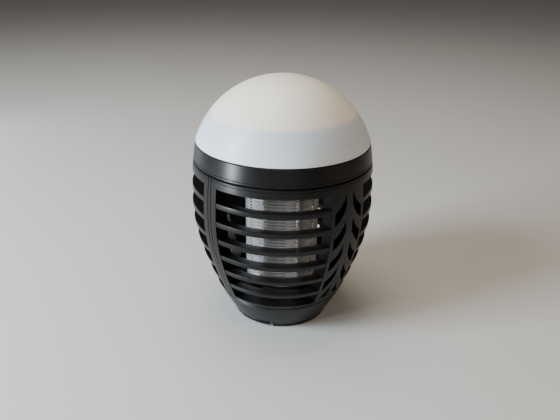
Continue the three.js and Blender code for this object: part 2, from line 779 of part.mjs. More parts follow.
// Folding bail: a half ring with a finger lip and an eye at each end
function makeBail() {
  const bottom = pinLevel - bail.height / 2;
  const top = pinLevel + bail.height / 2;
  const half = sector([
    [bailInner, bottom],
    [bailOuter, bottom],
    [bailOuter, top],
    [bailInner, top],
  ], bail.bearing - 90, bail.bearing + 90);
  const fingerLip = sector([
    [bailOuter - lip.root, bottom],
    [lipReach, bottom],
    [lipReach, bottom + lip.height],
    [bailOuter - lip.root, bottom + lip.height],
  ], bail.bearing - lip.halfAngle, bail.bearing + lip.halfAngle);
  const eyeStart = bailInner + bail.eyeInset;
  const eyeEnd = bailOuter - bail.eyeInset;
  const eyes = pinBearings.map((bearing) => radialRod(bail.height / 2, bearing, eyeStart, eyeEnd, pinLevel));
  const bores = pinBearings.map((bearing) => {
    return radialRod(bailPin.radius + slip, bearing, bailInner - cutMargin, bailOuter + cutMargin, pinLevel);
  });
  return cut(join(half, fingerLip, ...eyes), ...bores);
}
addMesh('hanging_bail', makeBail(), 'blackShell');
pinBearings.forEach((bearing, i) => {
  const tip = rimOuter - bailPin.wall - slip;
  const pin = radialRod(bailPin.radius, bearing, bailInner - bailPin.overhang, tip, pinLevel);
  addMesh(`bail_pin_${i + 1}`, pin, 'steel');
});

// Rubber cover of the charging port, hinged along its lower edge
const coverFace = bezelFace + seam;
const coverHeight = port.height + 2 * cover.overlap;
const coverBottom = portLevel - coverHeight / 2;
const coverBarrel = new THREE.CylinderGeometry(cover.barrel, cover.barrel, cover.width, smallSegments);
coverBarrel.rotateZ(Math.PI / 2).translate(0, coverFace + cover.barrel, coverBottom);
const coverPlate = block(
  [-cover.width / 2, coverFace, coverBottom],
  [cover.width / 2, coverFace + cover.thickness, coverBottom + coverHeight],
);
addMesh('port_cover', join(coverPlate, solidOf(coverBarrel)), 'rubber');

export default group;
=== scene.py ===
import json
import math

import bmesh
import bpy
from mathutils import Matrix, Vector

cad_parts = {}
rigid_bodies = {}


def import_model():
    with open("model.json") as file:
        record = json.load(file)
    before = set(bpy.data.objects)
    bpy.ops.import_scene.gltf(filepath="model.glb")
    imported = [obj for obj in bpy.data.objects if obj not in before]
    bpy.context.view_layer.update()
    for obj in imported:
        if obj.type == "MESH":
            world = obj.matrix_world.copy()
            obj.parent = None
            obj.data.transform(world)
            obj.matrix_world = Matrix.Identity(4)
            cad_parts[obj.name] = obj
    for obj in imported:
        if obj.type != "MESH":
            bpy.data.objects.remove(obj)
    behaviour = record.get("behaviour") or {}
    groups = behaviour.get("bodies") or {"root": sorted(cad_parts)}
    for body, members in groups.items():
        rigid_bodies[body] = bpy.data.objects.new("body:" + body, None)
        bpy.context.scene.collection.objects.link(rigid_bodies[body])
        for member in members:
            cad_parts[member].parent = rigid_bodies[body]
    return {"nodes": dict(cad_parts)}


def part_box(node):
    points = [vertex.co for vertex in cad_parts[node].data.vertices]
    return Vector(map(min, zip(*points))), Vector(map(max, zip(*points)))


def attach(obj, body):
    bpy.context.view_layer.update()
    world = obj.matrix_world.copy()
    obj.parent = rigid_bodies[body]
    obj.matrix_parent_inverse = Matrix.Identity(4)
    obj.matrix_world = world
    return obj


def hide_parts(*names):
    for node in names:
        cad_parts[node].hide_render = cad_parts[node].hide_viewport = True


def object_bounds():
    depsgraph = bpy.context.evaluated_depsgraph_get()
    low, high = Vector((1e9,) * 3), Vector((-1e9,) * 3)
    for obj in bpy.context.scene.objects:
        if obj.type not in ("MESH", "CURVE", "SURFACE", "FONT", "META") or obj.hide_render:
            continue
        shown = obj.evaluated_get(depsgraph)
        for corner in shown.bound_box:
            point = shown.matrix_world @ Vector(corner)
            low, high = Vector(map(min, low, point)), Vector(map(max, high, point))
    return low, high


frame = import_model()
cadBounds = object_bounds()
mm = 0.001
scene = bpy.context.scene
print("frame loaded:", len(frame["nodes"]), "nodes")


viewPoint = {"azimuth": 2.5, "distance": 0.2539, "height": 0.177, "sideStep": -0.00099,
             "tilt": 25.74, "roll": 0.85, "lens": 35.3, "near": 0.01}


def makeCamera():
    data = bpy.data.cameras.new("camera")
    data.lens = viewPoint["lens"]
    data.clip_start = viewPoint["near"]
    camera = bpy.data.objects.new("camera", data)
    scene.collection.objects.link(camera)
    turn = Matrix.Rotation(math.radians(viewPoint["azimuth"]), 4, "Z")
    pitch = Matrix.Rotation(math.radians(90 - viewPoint["tilt"]), 4, "X")
    roll = Matrix.Rotation(math.radians(viewPoint["roll"]), 4, "Z")
    place = Matrix.Translation((viewPoint["sideStep"], -viewPoint["distance"], viewPoint["height"]))
    camera.matrix_world = turn @ place @ pitch @ roll
    scene.camera = camera


lamps = [
    {"name": "windowLight", "at": (-0.62, -0.28, 0.42), "size": (0.24, 0.38), "watts": 11.5,
     "colour": (0.78, 0.89, 1.0)},
    {"name": "lowWindow", "at": (-0.41, -0.25, 0.06), "size": (0.03, 0.08), "watts": 1.9,
     "colour": (0.92, 0.96, 1.0)},
    {"name": "sideGlow", "at": (-0.42, 0.25, 0.10), "size": (0.14, 0.2), "watts": 0.3,
     "colour": (0.78, 0.88, 1.0)},
    {"name": "roomFill", "at": (0.72, -0.30, 0.36), "size": (0.4, 0.4), "watts": 1.0,
     "colour": (1.0, 0.68, 0.40)},
    {"name": "frontFill", "at": (0.06, -0.70, 0.34), "size": (0.5, 0.4), "watts": 1.0,
     "colour": (1.0, 0.93, 0.84)},
    {"name": "topSoft", "at": (-0.10, 0.12, 0.95), "size": (0.6, 0.6), "watts": 5.2,
     "colour": (1.0, 0.88, 0.72)},
]
lampAim = (0, 0, 0.08)
skyLight = {"colour": (0.80, 0.76, 0.71, 1), "strength": 0.13}


def makeLights():
    for lamp in lamps:
        data = bpy.data.lights.new(lamp["name"], "AREA")
        data.shape = "RECTANGLE"
        data.size, data.size_y = lamp["size"]
        data.energy = lamp["watts"]
        data.color = lamp["colour"]
        light = bpy.data.objects.new(lamp["name"], data)
        light.location = lamp["at"]
        toward = Vector(lampAim) - Vector(lamp["at"])
        light.rotation_euler = toward.to_track_quat("-Z", "Y").to_euler()
        scene.collection.objects.link(light)
    world = bpy.data.worlds.new("studio")
    world.use_nodes = True
    background = world.node_tree.nodes["Background"]
    background.inputs["Color"].default_value = skyLight["colour"]
    background.inputs["Strength"].default_value = skyLight["strength"]
    scene.world = world


class Wire:
    def __init__(self, tree, socket):
        self.tree = tree
        self.socket = socket

    def maths(self, operation, first, second):
        node = self.tree.nodes.new("ShaderNodeMath")
        node.operation = operation
        for slot, value in zip(node.inputs, (first, second)):
            join(self.tree, value, slot)
        return Wire(self.tree, node.outputs[0])

    def __add__(self, other):
        return self.maths("ADD", self, other)

    def __radd__(self, other):
        return self.maths("ADD", other, self)

    def __sub__(self, other):
        return self.maths("SUBTRACT", self, other)

    def __rsub__(self, other):
        return self.maths("SUBTRACT", other, self)

    def __mul__(self, other):
        return self.maths("MULTIPLY", self, other)

    def __rmul__(self, other):
        return self.maths("MULTIPLY", other, self)


def join(tree, value, slot):
    if isinstance(value, Wire):
        tree.links.new(value.socket, slot)
    else:
        slot.default_value = value


class Finish:
    def __init__(self, name, fixed):
        self.material = bpy.data.materials.new(name)
        self.material.use_nodes = True
        self.tree = self.material.node_tree
        self.shader = self.tree.nodes["Principled BSDF"]
        for socket, value in fixed.items():
            self.shader.inputs[socket].default_value = value

    def node(self, kind, settings=None, sockets=None, output=0):
        made = self.tree.nodes.new(kind)
        for key, value in (settings or {}).items():
            if key == "stops":
                self.setStops(made.color_ramp, value)
            else:
                setattr(made, key, value)
        for key, value in (sockets or {}).items():
            join(self.tree, value, made.inputs[key])
        return Wire(self.tree, made.outputs[output])

    def setStops(self, ramp, stops):
        while len(ramp.elements) < len(stops):
            ramp.elements.new(0.5)
        for element, (position, colour) in zip(ramp.elements, stops):
            element.position = position
            element.color = colour

    def place(self):
        return self.node("ShaderNodeTexCoord", output="Object")

    def height(self):
        return self.node("ShaderNodeSeparateXYZ", sockets={0: self.place()}, output="Z")

    def stretched(self, scale):
        return self.node("ShaderNodeMapping", sockets={"Vector": self.place(), "Scale": scale})

    def grain(self, scale, detail=2.0, vector=None, roughness=0.5):
        sockets = {"Vector": vector or self.place(), "Scale": scale, "Detail": detail, "Roughness": roughness}
        return self.node("ShaderNodeTexNoise", sockets=sockets)

    def steps(self, value, low, high):
        settings = {"interpolation_type": "SMOOTHSTEP"}
        return self.node("ShaderNodeMapRange", settings, {"Value": value, "From Min": low, "From Max": high})

    def blend(self, mask, first, second):
        settings = {"data_type": "RGBA"}
        return self.node("ShaderNodeMix", settings, {0: mask, 6: first, 7: second}, output=2)

    def feed(self, socket, value):
        join(self.tree, value, self.shader.inputs[socket])

    def relief(self, height, distance, strength=1.0, under=None):
        sockets = {"Height": height, "Distance": distance, "Strength": strength}
        if under:
            sockets["Normal"] = under
        return self.node("ShaderNodeBump", {}, sockets)


def rgb(red, green, blue):
    return (red, green, blue, 1.0)


mouldedBlack = {"dark": rgb(0.0022, 0.0022, 0.0025), "light": rgb(0.0045, 0.0045, 0.0049),
                "dust": rgb(0.045, 0.044, 0.042), "roughness": 0.27, "uneven": 0.12, "dusty": 0.35,
                "cloudScale": 38, "speckScale": 900, "patchScale": 22, "gloss": 0.28,
                "lineScale": (24, 24, 2300), "lineDepth": 0.00005, "pebbleScale": 1500, "pebbleDepth": 0.00002}


def blackPlastic(name, look, dustAmount, lined):
    finish = Finish(name, {"Specular IOR Level": look["gloss"], "IOR": 1.5})
    cloud = finish.grain(look["cloudScale"], 3)
    specks = finish.steps(finish.grain(look["speckScale"], 2, roughness=0.7), 0.66, 0.80)
    patches = finish.steps(finish.grain(look["patchScale"], 4), 0.48, 0.70)
    dust = specks * (patches * 0.7 + 0.3) * dustAmount
    plastic = finish.blend(cloud, look["dark"], look["light"])
    finish.feed("Base Color", finish.blend(dust, plastic, look["dust"]))
    finish.feed("Roughness", cloud * look["uneven"] + look["roughness"] + dust * look["dusty"])
    pebble = finish.relief(finish.grain(look["pebbleScale"], 2), look["pebbleDepth"], 0.35)
    if lined:
        lines = finish.grain(1.0, 1, finish.stretched(look["lineScale"]))
        pebble = finish.relief(lines, look["lineDepth"], 0.5, pebble)
    finish.feed("Normal", pebble)
    return finish.material


# the dome's base colour paints its light in height bands: a painted bright edge at the rim, a lighter bluish
# low band, a darker cool zone of painted shade, then painted warm top light that grows lighter towards the
# crown
opal = {"bandRise": 5.2, "lineRise": 13.9, "bandBlur": (1.2, 0.8), "lineBlur": (1.3, 1.1), "crownRise": 2,
        "rimRise": (1.4, 0.2), "rimHighlightShare": 0.7, "wobble": 0.0012,
        "roughness": 0.34, "uneven": 0.10, "scuffed": 0.12,
        "paintedLowBand": rgb(0.60, 0.645, 0.68), "cool": rgb(0.56, 0.61, 0.66), "rim": rgb(0.70, 0.72, 0.73),
        "warm": rgb(0.80, 0.755, 0.665), "crown": rgb(0.87, 0.80, 0.69)}
opalGlow = {"Subsurface Weight": 0.25, "Subsurface Radius": (0.9, 0.8, 0.65), "Subsurface Scale": 0.004,
            "IOR": 1.49}


def opalDome():
    finish = Finish("opalDome", opalGlow)
    low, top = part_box("shoulder_ring")[1].z / mm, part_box("dome_diffuser")[1].z / mm
    band, line = low + opal["bandRise"], low + opal["lineRise"]
    level = finish.height()
    place = level + (finish.grain(18, 2) - 0.5) * opal["wobble"]
    lower = finish.steps(level, (band - opal["bandBlur"][0]) * mm, (band + opal["bandBlur"][1]) * mm)
    upper = finish.steps(place, (line - opal["lineBlur"][0]) * mm, (line + opal["lineBlur"][1]) * mm)
    crown = finish.steps(place, (line + opal["crownRise"]) * mm, top * mm)
    rim = finish.steps(level, (low + opal["rimRise"][0]) * mm, (low + opal["rimRise"][1]) * mm)
    # painted light and shade by height, from the low bluish band up to the lighter crown
    paintedLowBand = finish.blend(lower, opal["paintedLowBand"], opal["cool"])
    shade = finish.blend(upper, paintedLowBand, finish.blend(crown, opal["warm"], opal["crown"]))
    # the rim colour is a painted bright edge along the bottom of the dome
    finish.feed("Base Color", finish.blend(rim * opal["rimHighlightShare"], shade, opal["rim"]))
    scuffs = finish.steps(finish.grain(260, 4, finish.stretched((1, 1, 0.3))), 0.62, 0.75)
    roughness = finish.grain(60, 3) * opal["uneven"] + opal["roughness"] + scuffs * opal["scuffed"]
    finish.feed("Roughness", roughness)
    finish.feed("Normal", finish.relief(finish.grain(1400, 2), 0.00001, 0.30))
    return finish.material


def drawnMetal(name, colour, roughness, scale):
    finish = Finish(name, {"Metallic": 1.0})
    streak = finish.grain(1.0, 3, finish.stretched(scale))
    tarnish = finish.steps(finish.grain(120, 3), 0.45, 0.75)
    dull = tuple(channel * 0.72 for channel in colour[:3]) + (1.0,)
    finish.feed("Base Color", finish.blend(tarnish, colour, dull))
    finish.feed("Roughness", streak * 0.18 + roughness + tarnish * 0.10)
    finish.feed("Normal", finish.relief(streak, 0.00001, 0.5))
    return finish.material


def softPlastic(name, colour, roughness, pebble=900, mottle=0.85):
    finish = Finish(name, {"IOR": 1.47})
    dull = tuple(channel * mottle for channel in colour[:3]) + (1.0,)
    finish.feed("Base Color", finish.blend(finish.grain(160, 4), dull, colour))
    finish.feed("Roughness", finish.grain(220, 3) * 0.16 + roughness)
    finish.feed("Normal", finish.relief(finish.grain(pebble, 2), 0.00003, 0.4))
    return finish.material


def frostedTube():
    finish = Finish("frostedTube", {"IOR": 1.49, "Transmission Weight": 0.08})
    # the dark and light vertical streaks in the base colour are painted reflections and painted shade on a tube
    # that is evenly white
    paintedStreaks = finish.steps(finish.grain(1.0, 1, finish.stretched((170, 170, 3))), 0.36, 0.62)
    flow = finish.grain(1.0, 3, finish.stretched((600, 600, 12)))
    finish.feed("Base Color", finish.blend(paintedStreaks, rgb(0.38, 0.39, 0.40), rgb(0.88, 0.88, 0.88)))
    finish.feed("Roughness", flow * 0.14 + 0.24)
    finish.feed("Normal", finish.relief(flow, 0.00002, 0.3))
    return finish.material


def circuitBoard():
    finish = Finish("circuitBoard", {"IOR": 1.5})
    sockets = {"Vector": finish.place(), "Scale": 420}
    cells = finish.node("ShaderNodeTexVoronoi", {"feature": "DISTANCE_TO_EDGE"}, sockets)
    track = 1 - finish.steps(cells, 0.03, 0.09)
    finish.feed("Base Color", finish.blend(track, rgb(0.012, 0.085, 0.035), rgb(0.05, 0.20, 0.08)))
    finish.feed("Roughness", finish.grain(300, 2) * 0.1 + 0.32)
    finish.feed("Normal", finish.relief(track, 0.00003, 0.6))
    return finish.material


def lampLens(name, rimColour, coreColour):
    finish = Finish(name, {"IOR": 1.45})
    finish.feed("Base Color", finish.blend(finish.grain(700, 2), rimColour, coreColour))
    finish.feed("Roughness", finish.grain(500, 2) * 0.1 + 0.18)
    finish.feed("Normal", finish.relief(finish.grain(900, 2), 0.00002, 0.3))
    return finish.material


def paleFloor():
    finish = Finish("paleFloor", {"Specular IOR Level": 0.3})
    finish.feed("Base Color", finish.blend(finish.grain(7, 3), rgb(0.54, 0.53, 0.51), rgb(0.57, 0.56, 0.54)))
    finish.feed("Roughness", finish.grain(40, 3) * 0.1 + 0.55)
    finish.feed("Normal", finish.relief(finish.grain(400, 3), 0.0001, 0.1))
    return finish.material


buttonLook = {"light": rgb(0.035, 0.035, 0.038), "roughness": 0.45}
finishes = {
    "shell": blackPlastic("mouldedShell", mouldedBlack, 0.35, True),
    "inner": blackPlastic("mouldedInner", {**mouldedBlack, "roughness": 0.5}, 0.15, False),
    "button": blackPlastic("buttonCaps", {**mouldedBlack, **buttonLook}, 0.3, False),
    "opal": opalDome(),
    "white": softPlastic("whitePlastic", rgb(0.80, 0.80, 0.78), 0.38),
    "rubber": softPlastic("blackRubber", rgb(0.018, 0.018, 0.019), 0.62, 1400, 0.6),
    "lead": softPlastic("leadSleeve", rgb(0.16, 0.015, 0.012), 0.42),
    "wrap": softPlastic("batteryWrap", rgb(0.05, 0.13, 0.34), 0.28, 300),
    "sleeve": softPlastic("capacitorSleeve", rgb(0.02, 0.04, 0.12), 0.25, 300),
    "ferrite": softPlastic("ferriteBlock", rgb(0.045, 0.045, 0.05), 0.60, 700, 0.6),
    "former": softPlastic("coilFormer", rgb(0.90, 0.90, 0.90), 0.3, 500, 0.9),
    "wire": drawnMetal("coilWire", rgb(0.84, 0.83, 0.82), 0.34, (200, 200, 60)),
    "steel": drawnMetal("zincSteel", rgb(0.62, 0.62, 0.63), 0.24, (300, 300, 900)),
    "tube": frostedTube(),
    "board": circuitBoard(),
    "led": lampLens("lanternLens", rgb(0.78, 0.70, 0.30), rgb(0.88, 0.80, 0.42)),
    "uv": lampLens("ultravioletLens", rgb(0.52, 0.48, 0.66), rgb(0.72, 0.68, 0.84)),
    "tape": softPlastic("yellowTape", rgb(0.55, 0.38, 0.05), 0.35, 400, 0.8),
    "floor": paleFloor(),
}
print("finishes made:", len(finishes))


# a place in the scene from a radius, a bearing and a level in millimetres
def spot(radius, bearing, level):
    angle = math.radians(bearing)
    return Vector((radius * math.sin(angle), -radius * math.cos(angle), level)) * mm


roundingLimit = 0.45  # the share of a short side that a rounded corner may take


def arcCorner(before, corner, after, radius, steps):
    toBefore = (Vector(before) - Vector(corner)).normalized()
    toAfter = (Vector(after) - Vector(corner)).normalized()
    half = toBefore.angle(toAfter) / 2
    shorter = min((Vector(before) - Vector(corner)).length, (Vector(after) - Vector(corner)).length)
    reach = min(radius / math.tan(half), shorter * roundingLimit)
    first, last = Vector(corner) + toBefore * reach, Vector(corner) + toAfter * reach
    points = []
    for i in range(steps + 1):
        share = i / steps
        points.append(tuple(first.lerp(Vector(corner), share).lerp(Vector(corner).lerp(last, share), share)))
    return points


def rounded(outline, radii, steps=3):
    points = []
    for i, corner in enumerate(outline):
        radius = radii[i] if isinstance(radii, (list, tuple)) else radii
        if radius:
            points += arcCorner(outline[i - 1], corner, outline[(i + 1) % len(outline)], radius, steps)
        else:
            points.append(tuple(corner))
    return points


def objectFrom(name, mesh, finish, angle=38):
    made = bpy.data.objects.new(name, mesh)
    scene.collection.objects.link(made)
    mesh.polygons.foreach_set("use_smooth", [True] * len(mesh.polygons))
    mesh.set_sharp_from_angle(angle=math.radians(angle))
    for key in [finish] if isinstance(finish, str) else finish:
        mesh.materials.append(finishes[key])
    return made


def install(piece, body, slot, *nodes):
    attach(piece, body)
    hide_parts(*nodes)


def meshFrom(name, build):
    shape = bmesh.new()
    build(shape)
    bmesh.ops.remove_doubles(shape, verts=shape.verts, dist=1e-7)
    bmesh.ops.recalc_face_normals(shape, faces=shape.faces)
    mesh = bpy.data.meshes.new(name)
    shape.to_mesh(mesh)
    shape.free()
    return mesh


# a closed outline turned about Z, all the way round or between two bearings
def turned(name, outline, segments=144, start=0.0, end=360.0):
    whole = end - start >= 360

    def build(shape):
        count = segments if whole else max(2, round(segments * (end - start) / 360))
        rings = []
        for i in range(count if whole else count + 1):
            bearing = start + (end - start) * i / count
            rings.append([shape.verts.new(spot(max(radius, 0), bearing, level)) for radius, level in outline])
        pairs = list(zip(rings, rings[1:])) + ([(rings[-1], rings[0])] if whole else [])
        for first, second in pairs:
            for k in range(len(outline)):
                j = (k + 1) % len(outline)
                if outline[k][0] <= 0 and outline[j][0] <= 0:
                    continue
                shape.faces.new((first[k], first[j], second[j], second[k]))
        if not whole:
            shape.faces.new(rings[0])
            shape.faces.new(list(reversed(rings[-1])))

    return meshFrom(name, build)


# a round tube swept along a list of points, with closed ends
def tubeMesh(name, points, radius, sides=8):
    def build(shape):
        rings = []
        for i, point in enumerate(points):
            ahead = (points[min(i + 1, len(points) - 1)] - points[max(i - 1, 0)]).normalized()
            side = ahead.cross(Vector((0, 0, 1)))
            side = side.normalized() if side.length > 1e-6 else Vector((1, 0, 0))
            up = side.cross(ahead)
            turns = [2 * math.pi * k / sides for k in range(sides)]
            around = [(side * math.cos(t) + up * math.sin(t)) * radius for t in turns]
            rings.append([shape.verts.new(point + step) for step in around])
        for first, second in zip(rings, rings[1:]):
            for k in range(sides):
                shape.faces.new((first[k], first[(k + 1) % sides], second[(k + 1) % sides], second[k]))
        shape.faces.new(rings[0])
        shape.faces.new(list(reversed(rings[-1])))

    return meshFrom(name, build)


# a box with rounded edges, between two corners in millimetres
def slab(low, high, edge=0.2, steps=2):
    def build(shape):
        size, middle = Vector(high) - Vector(low), (Vector(high) + Vector(low)) / 2
        place = Matrix.Translation(middle * mm) @ Matrix.Diagonal((*(size * mm), 1))
        bmesh.ops.create_cube(shape, size=1, matrix=place)
        bevel = {"offset": min(edge, min(size) * roundingLimit) * mm, "segments": steps, "profile": 0.5}
        bmesh.ops.bevel(shape, geom=shape.edges[:], affect="EDGES", **bevel)

    return meshFrom("slab", build)


# a rod along Z with rounded ends
def rodMesh(radius, low, high, edge=0.2, segments=40):
    outline = rounded([(0, low), (radius, low), (radius, high), (0, high)], (0, edge, edge, 0))
    return turned("rod", outline, segments)


def moved(mesh, at=(0, 0, 0), turn=None):
    mesh.transform(Matrix.Translation(Vector(at) * mm) @ (turn or Matrix()))
    return mesh


def about(axis, degrees):
    return Matrix.Rotation(math.radians(degrees), 4, axis)


# stands a mesh made along Z out along a bearing
def outward(mesh, bearing, level):
    return moved(mesh, (0, 0, level), about("Z", bearing) @ about("X", 90))


# several closed meshes in one piece, each with its own finish
def gather(name, parts, angle=38):
    shape = bmesh.new()
    used = []
    for mesh, finish in parts:
        if finish not in used:
            used.append(finish)
        known = len(shape.faces)
        shape.from_mesh(mesh)
        shape.faces.ensure_lookup_table()
        for face in shape.faces[known:]:
            face.material_index = used.index(finish)
    mesh = bpy.data.meshes.new(name)
    shape.to_mesh(mesh)
    shape.free()
    return objectFrom(name, mesh, used, angle)


def spanOf(node):
    low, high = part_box(node)
    return low / mm, high / mm


def levelsOf(node):
    low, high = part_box(node)
    return low.z / mm, high.z / mm


def middleOf(node):
    low, high = spanOf(node)
    return (low + high) / 2


def above(node, mesh):
    at = middleOf(node)
    return moved(mesh, (at.x, at.y, 0))


# a cutter for a round hole through a piece, in line with a node
def boreAt(node, radius, low, high):
    return above(node, rodMesh(radius, low - 1, high + 1))


# a turned ring of rectangular section, with rounded corners
def band(inner, outer, low, high, edge, steps=3, segments=144, start=0.0, end=360.0):
    corners = [(inner, low), (outer, low), (outer, high), (inner, high)]
    return turned("band", rounded(corners, edge, steps), segments, start, end)


def combine(target, tools, operation):
    holder = bpy.data.collections.new("tools")
    scene.collection.children.link(holder)
    for tool in tools:
        holder.objects.link(bpy.data.objects.new("tool", tool))
    worker = bpy.data.objects.new("worker", target)
    scene.collection.objects.link(worker)
    step = worker.modifiers.new("combine", "BOOLEAN")
    step.operation = operation
    step.operand_type = "COLLECTION"
    step.collection = holder
    step.solver = "EXACT"
    bpy.context.view_layer.update()
    made = bpy.data.meshes.new_from_object(worker.evaluated_get(bpy.context.evaluated_depsgraph_get()))
    for extra in [worker, *holder.objects]:
        bpy.data.objects.remove(extra)
    bpy.data.collections.remove(holder)
    return made


# the body profile, from the same curves as the frame
body = {"baseRadius": 26.1, "widestRadius": 45, "rimRadius": 42, "widestLevel": 62, "baseBottom": 2.5}
cageBottom, cageTop = levelsOf("guard_cage")
shoulderBottom, shoulderTop = levelsOf("shoulder_ring")
domeSkirt, domeTop = levelsOf("dome_diffuser")


def bezier(points, share):
    rest = 1 - share
    weights = (rest**3, 3 * rest**2 * share, 3 * rest * share**2, share**3)
    return [sum(weight * point[axis] for weight, point in zip(weights, points)) for axis in (0, 1)]


lowerCurve = [(body["baseRadius"], body["baseBottom"]), (body["baseRadius"] + 10.1, body["baseBottom"] + 18),
              (body["widestRadius"], body["widestLevel"] - 18), (body["widestRadius"], body["widestLevel"])]
upperCurve = [(body["widestRadius"], body["widestLevel"]), (body["widestRadius"], body["widestLevel"] + 11),
              (body["rimRadius"] + 1.9, shoulderTop - 9.6), (body["rimRadius"], shoulderTop)]


def bodyRadius(level):
    curve = lowerCurve if level < body["widestLevel"] else upperCurve
    low, high = 0.0, 1.0
    for _ in range(30):
        middle = (low + high) / 2
        if bezier(curve, middle)[1] < level:
            low = middle
        else:
            high = middle
    return bezier(curve, low)[0]


def profile(start, end, inset, steps):
    levels = [start + (end - start) * i / steps for i in range(steps + 1)]
    return [(bodyRadius(level) - inset, level) for level in levels]


# the profile with a fine groove at each given level
def groovedProfile(start, end, steps, grooves, depth=0.16, half=0.15):
    points = profile(start, end, 0, steps)
    for level in grooves:
        points = [point for point in points if abs(point[1] - level) > 2 * half]
    for level in grooves:
        for height, cut in ((level - half, 0), (level, depth), (level + half, 0)):
            points.append((bodyRadius(height) - cut, height))
    return sorted(points, key=lambda p: p[1])


cage = {"ribDepth": 7.1, "slots": 7, "bladeThickness": 2.5, "bladeDrop": 1.5, "setBack": 0.2, "tail": 1.0,
        "bladeEdges": (0.5, 0.32, 0.32, 0.5), "sill": 2.2, "head": 4.3,
        "pillars": (-45, 135), "pillarWidth": 11.6,
        "columns": (45, 225), "columnWidth": 27, "chevronDepth": 5, "columnRim": 2.4, "pocketWall": 2,
        "flangeReach": 4.6, "edge": 0.45, "groove": 0.45, "grooveDepth": 0.4, "grooveSpread": 1.35,
        "chevrons": 5, "overrun": 1.6, "fall": 8.7, "opening": 6.2, "spine": 4.2, "chevronDrop": 0.3,
        "kneeAcross": 0.3, "kneeFall": 0.66, "lines": (17.3, 17.9, 83.1)}


def bladeMesh(number, start, end, low, pitch):
    bottom = low + number * pitch - cage["bladeThickness"]
    top = bottom + cage["bladeThickness"]
    bottomFace, topFace = bodyRadius(bottom) - cage["setBack"], bodyRadius(top) - cage["setBack"]
    depth, drop = cage["ribDepth"] - 2 * cage["setBack"], cage["bladeDrop"]
    outline = [(bottomFace - depth, bottom - drop), (bottomFace, bottom), (topFace, top)]
    outline.append((topFace - depth, top - drop))
    return turned("blade", rounded(outline, cage["bladeEdges"]), 180, start - cage["tail"], end + cage["tail"])


# one curved groove of a herringbone column, with a floor that follows the profile
def chevronMesh(bearing, side, level, floor):
    perMm = math.degrees(1 / body["widestRadius"])
    start, end = cage["spine"] / 2 * perMm, cage["columnWidth"] / 2 - cage["columnRim"]
    knee = (start + (end - start) * cage["kneeAcross"], -cage["fall"] * cage["kneeFall"])
    steps, rows = 10, 4

    def build(shape):
        grid = []
        for i in range(steps + 1):
            share = i / steps
            across = 2 * share * (1 - share) * knee[0] + share**2 * end + (1 - share) ** 2 * start
            fall = 2 * share * (1 - share) * knee[1] - share**2 * cage["fall"]
            column = []
            for j in range(rows + 1):
                height = max(level + fall - cage["opening"] * j / rows, floor - 0.01 * j)
                reach = [bodyRadius(height) - cage["chevronDepth"], bodyRadius(height) + 2]
                column.append([shape.verts.new(spot(r, bearing + side * across, height)) for r in reach])
            grid.append(column)
        for i in range(steps):
            here, there = grid[i], grid[i + 1]
            for j in range(rows):
                for k in (0, 1):
                    shape.faces.new((here[j][k], there[j][k], there[j + 1][k], here[j + 1][k]))
            for j in (0, rows):
                shape.faces.new((here[j][0], there[j][0], there[j][1], here[j][1]))
        for i in (0, steps):
            for j in range(rows):
                shape.faces.new((grid[i][j][0], grid[i][j + 1][0], grid[i][j + 1][1], grid[i][j][1]))

    return meshFrom("chevron", build)


def pocketMesh(bearing, width, wall, low, high):
    side = math.degrees(cage["pocketWall"] / (body["widestRadius"] - cage["ribDepth"]))
    front = profile(low + cage["pocketWall"], high - cage["pocketWall"], wall, 24)
    back = profile(low + cage["pocketWall"], high - cage["pocketWall"], cage["ribDepth"] + 3, 24)
    return turned("pocket", front + back[::-1], 144, bearing - width / 2 + side, bearing + width / 2 - side)


windowReach = (10, 3)  # a window cutter's inner radius, and how far it passes the widest place


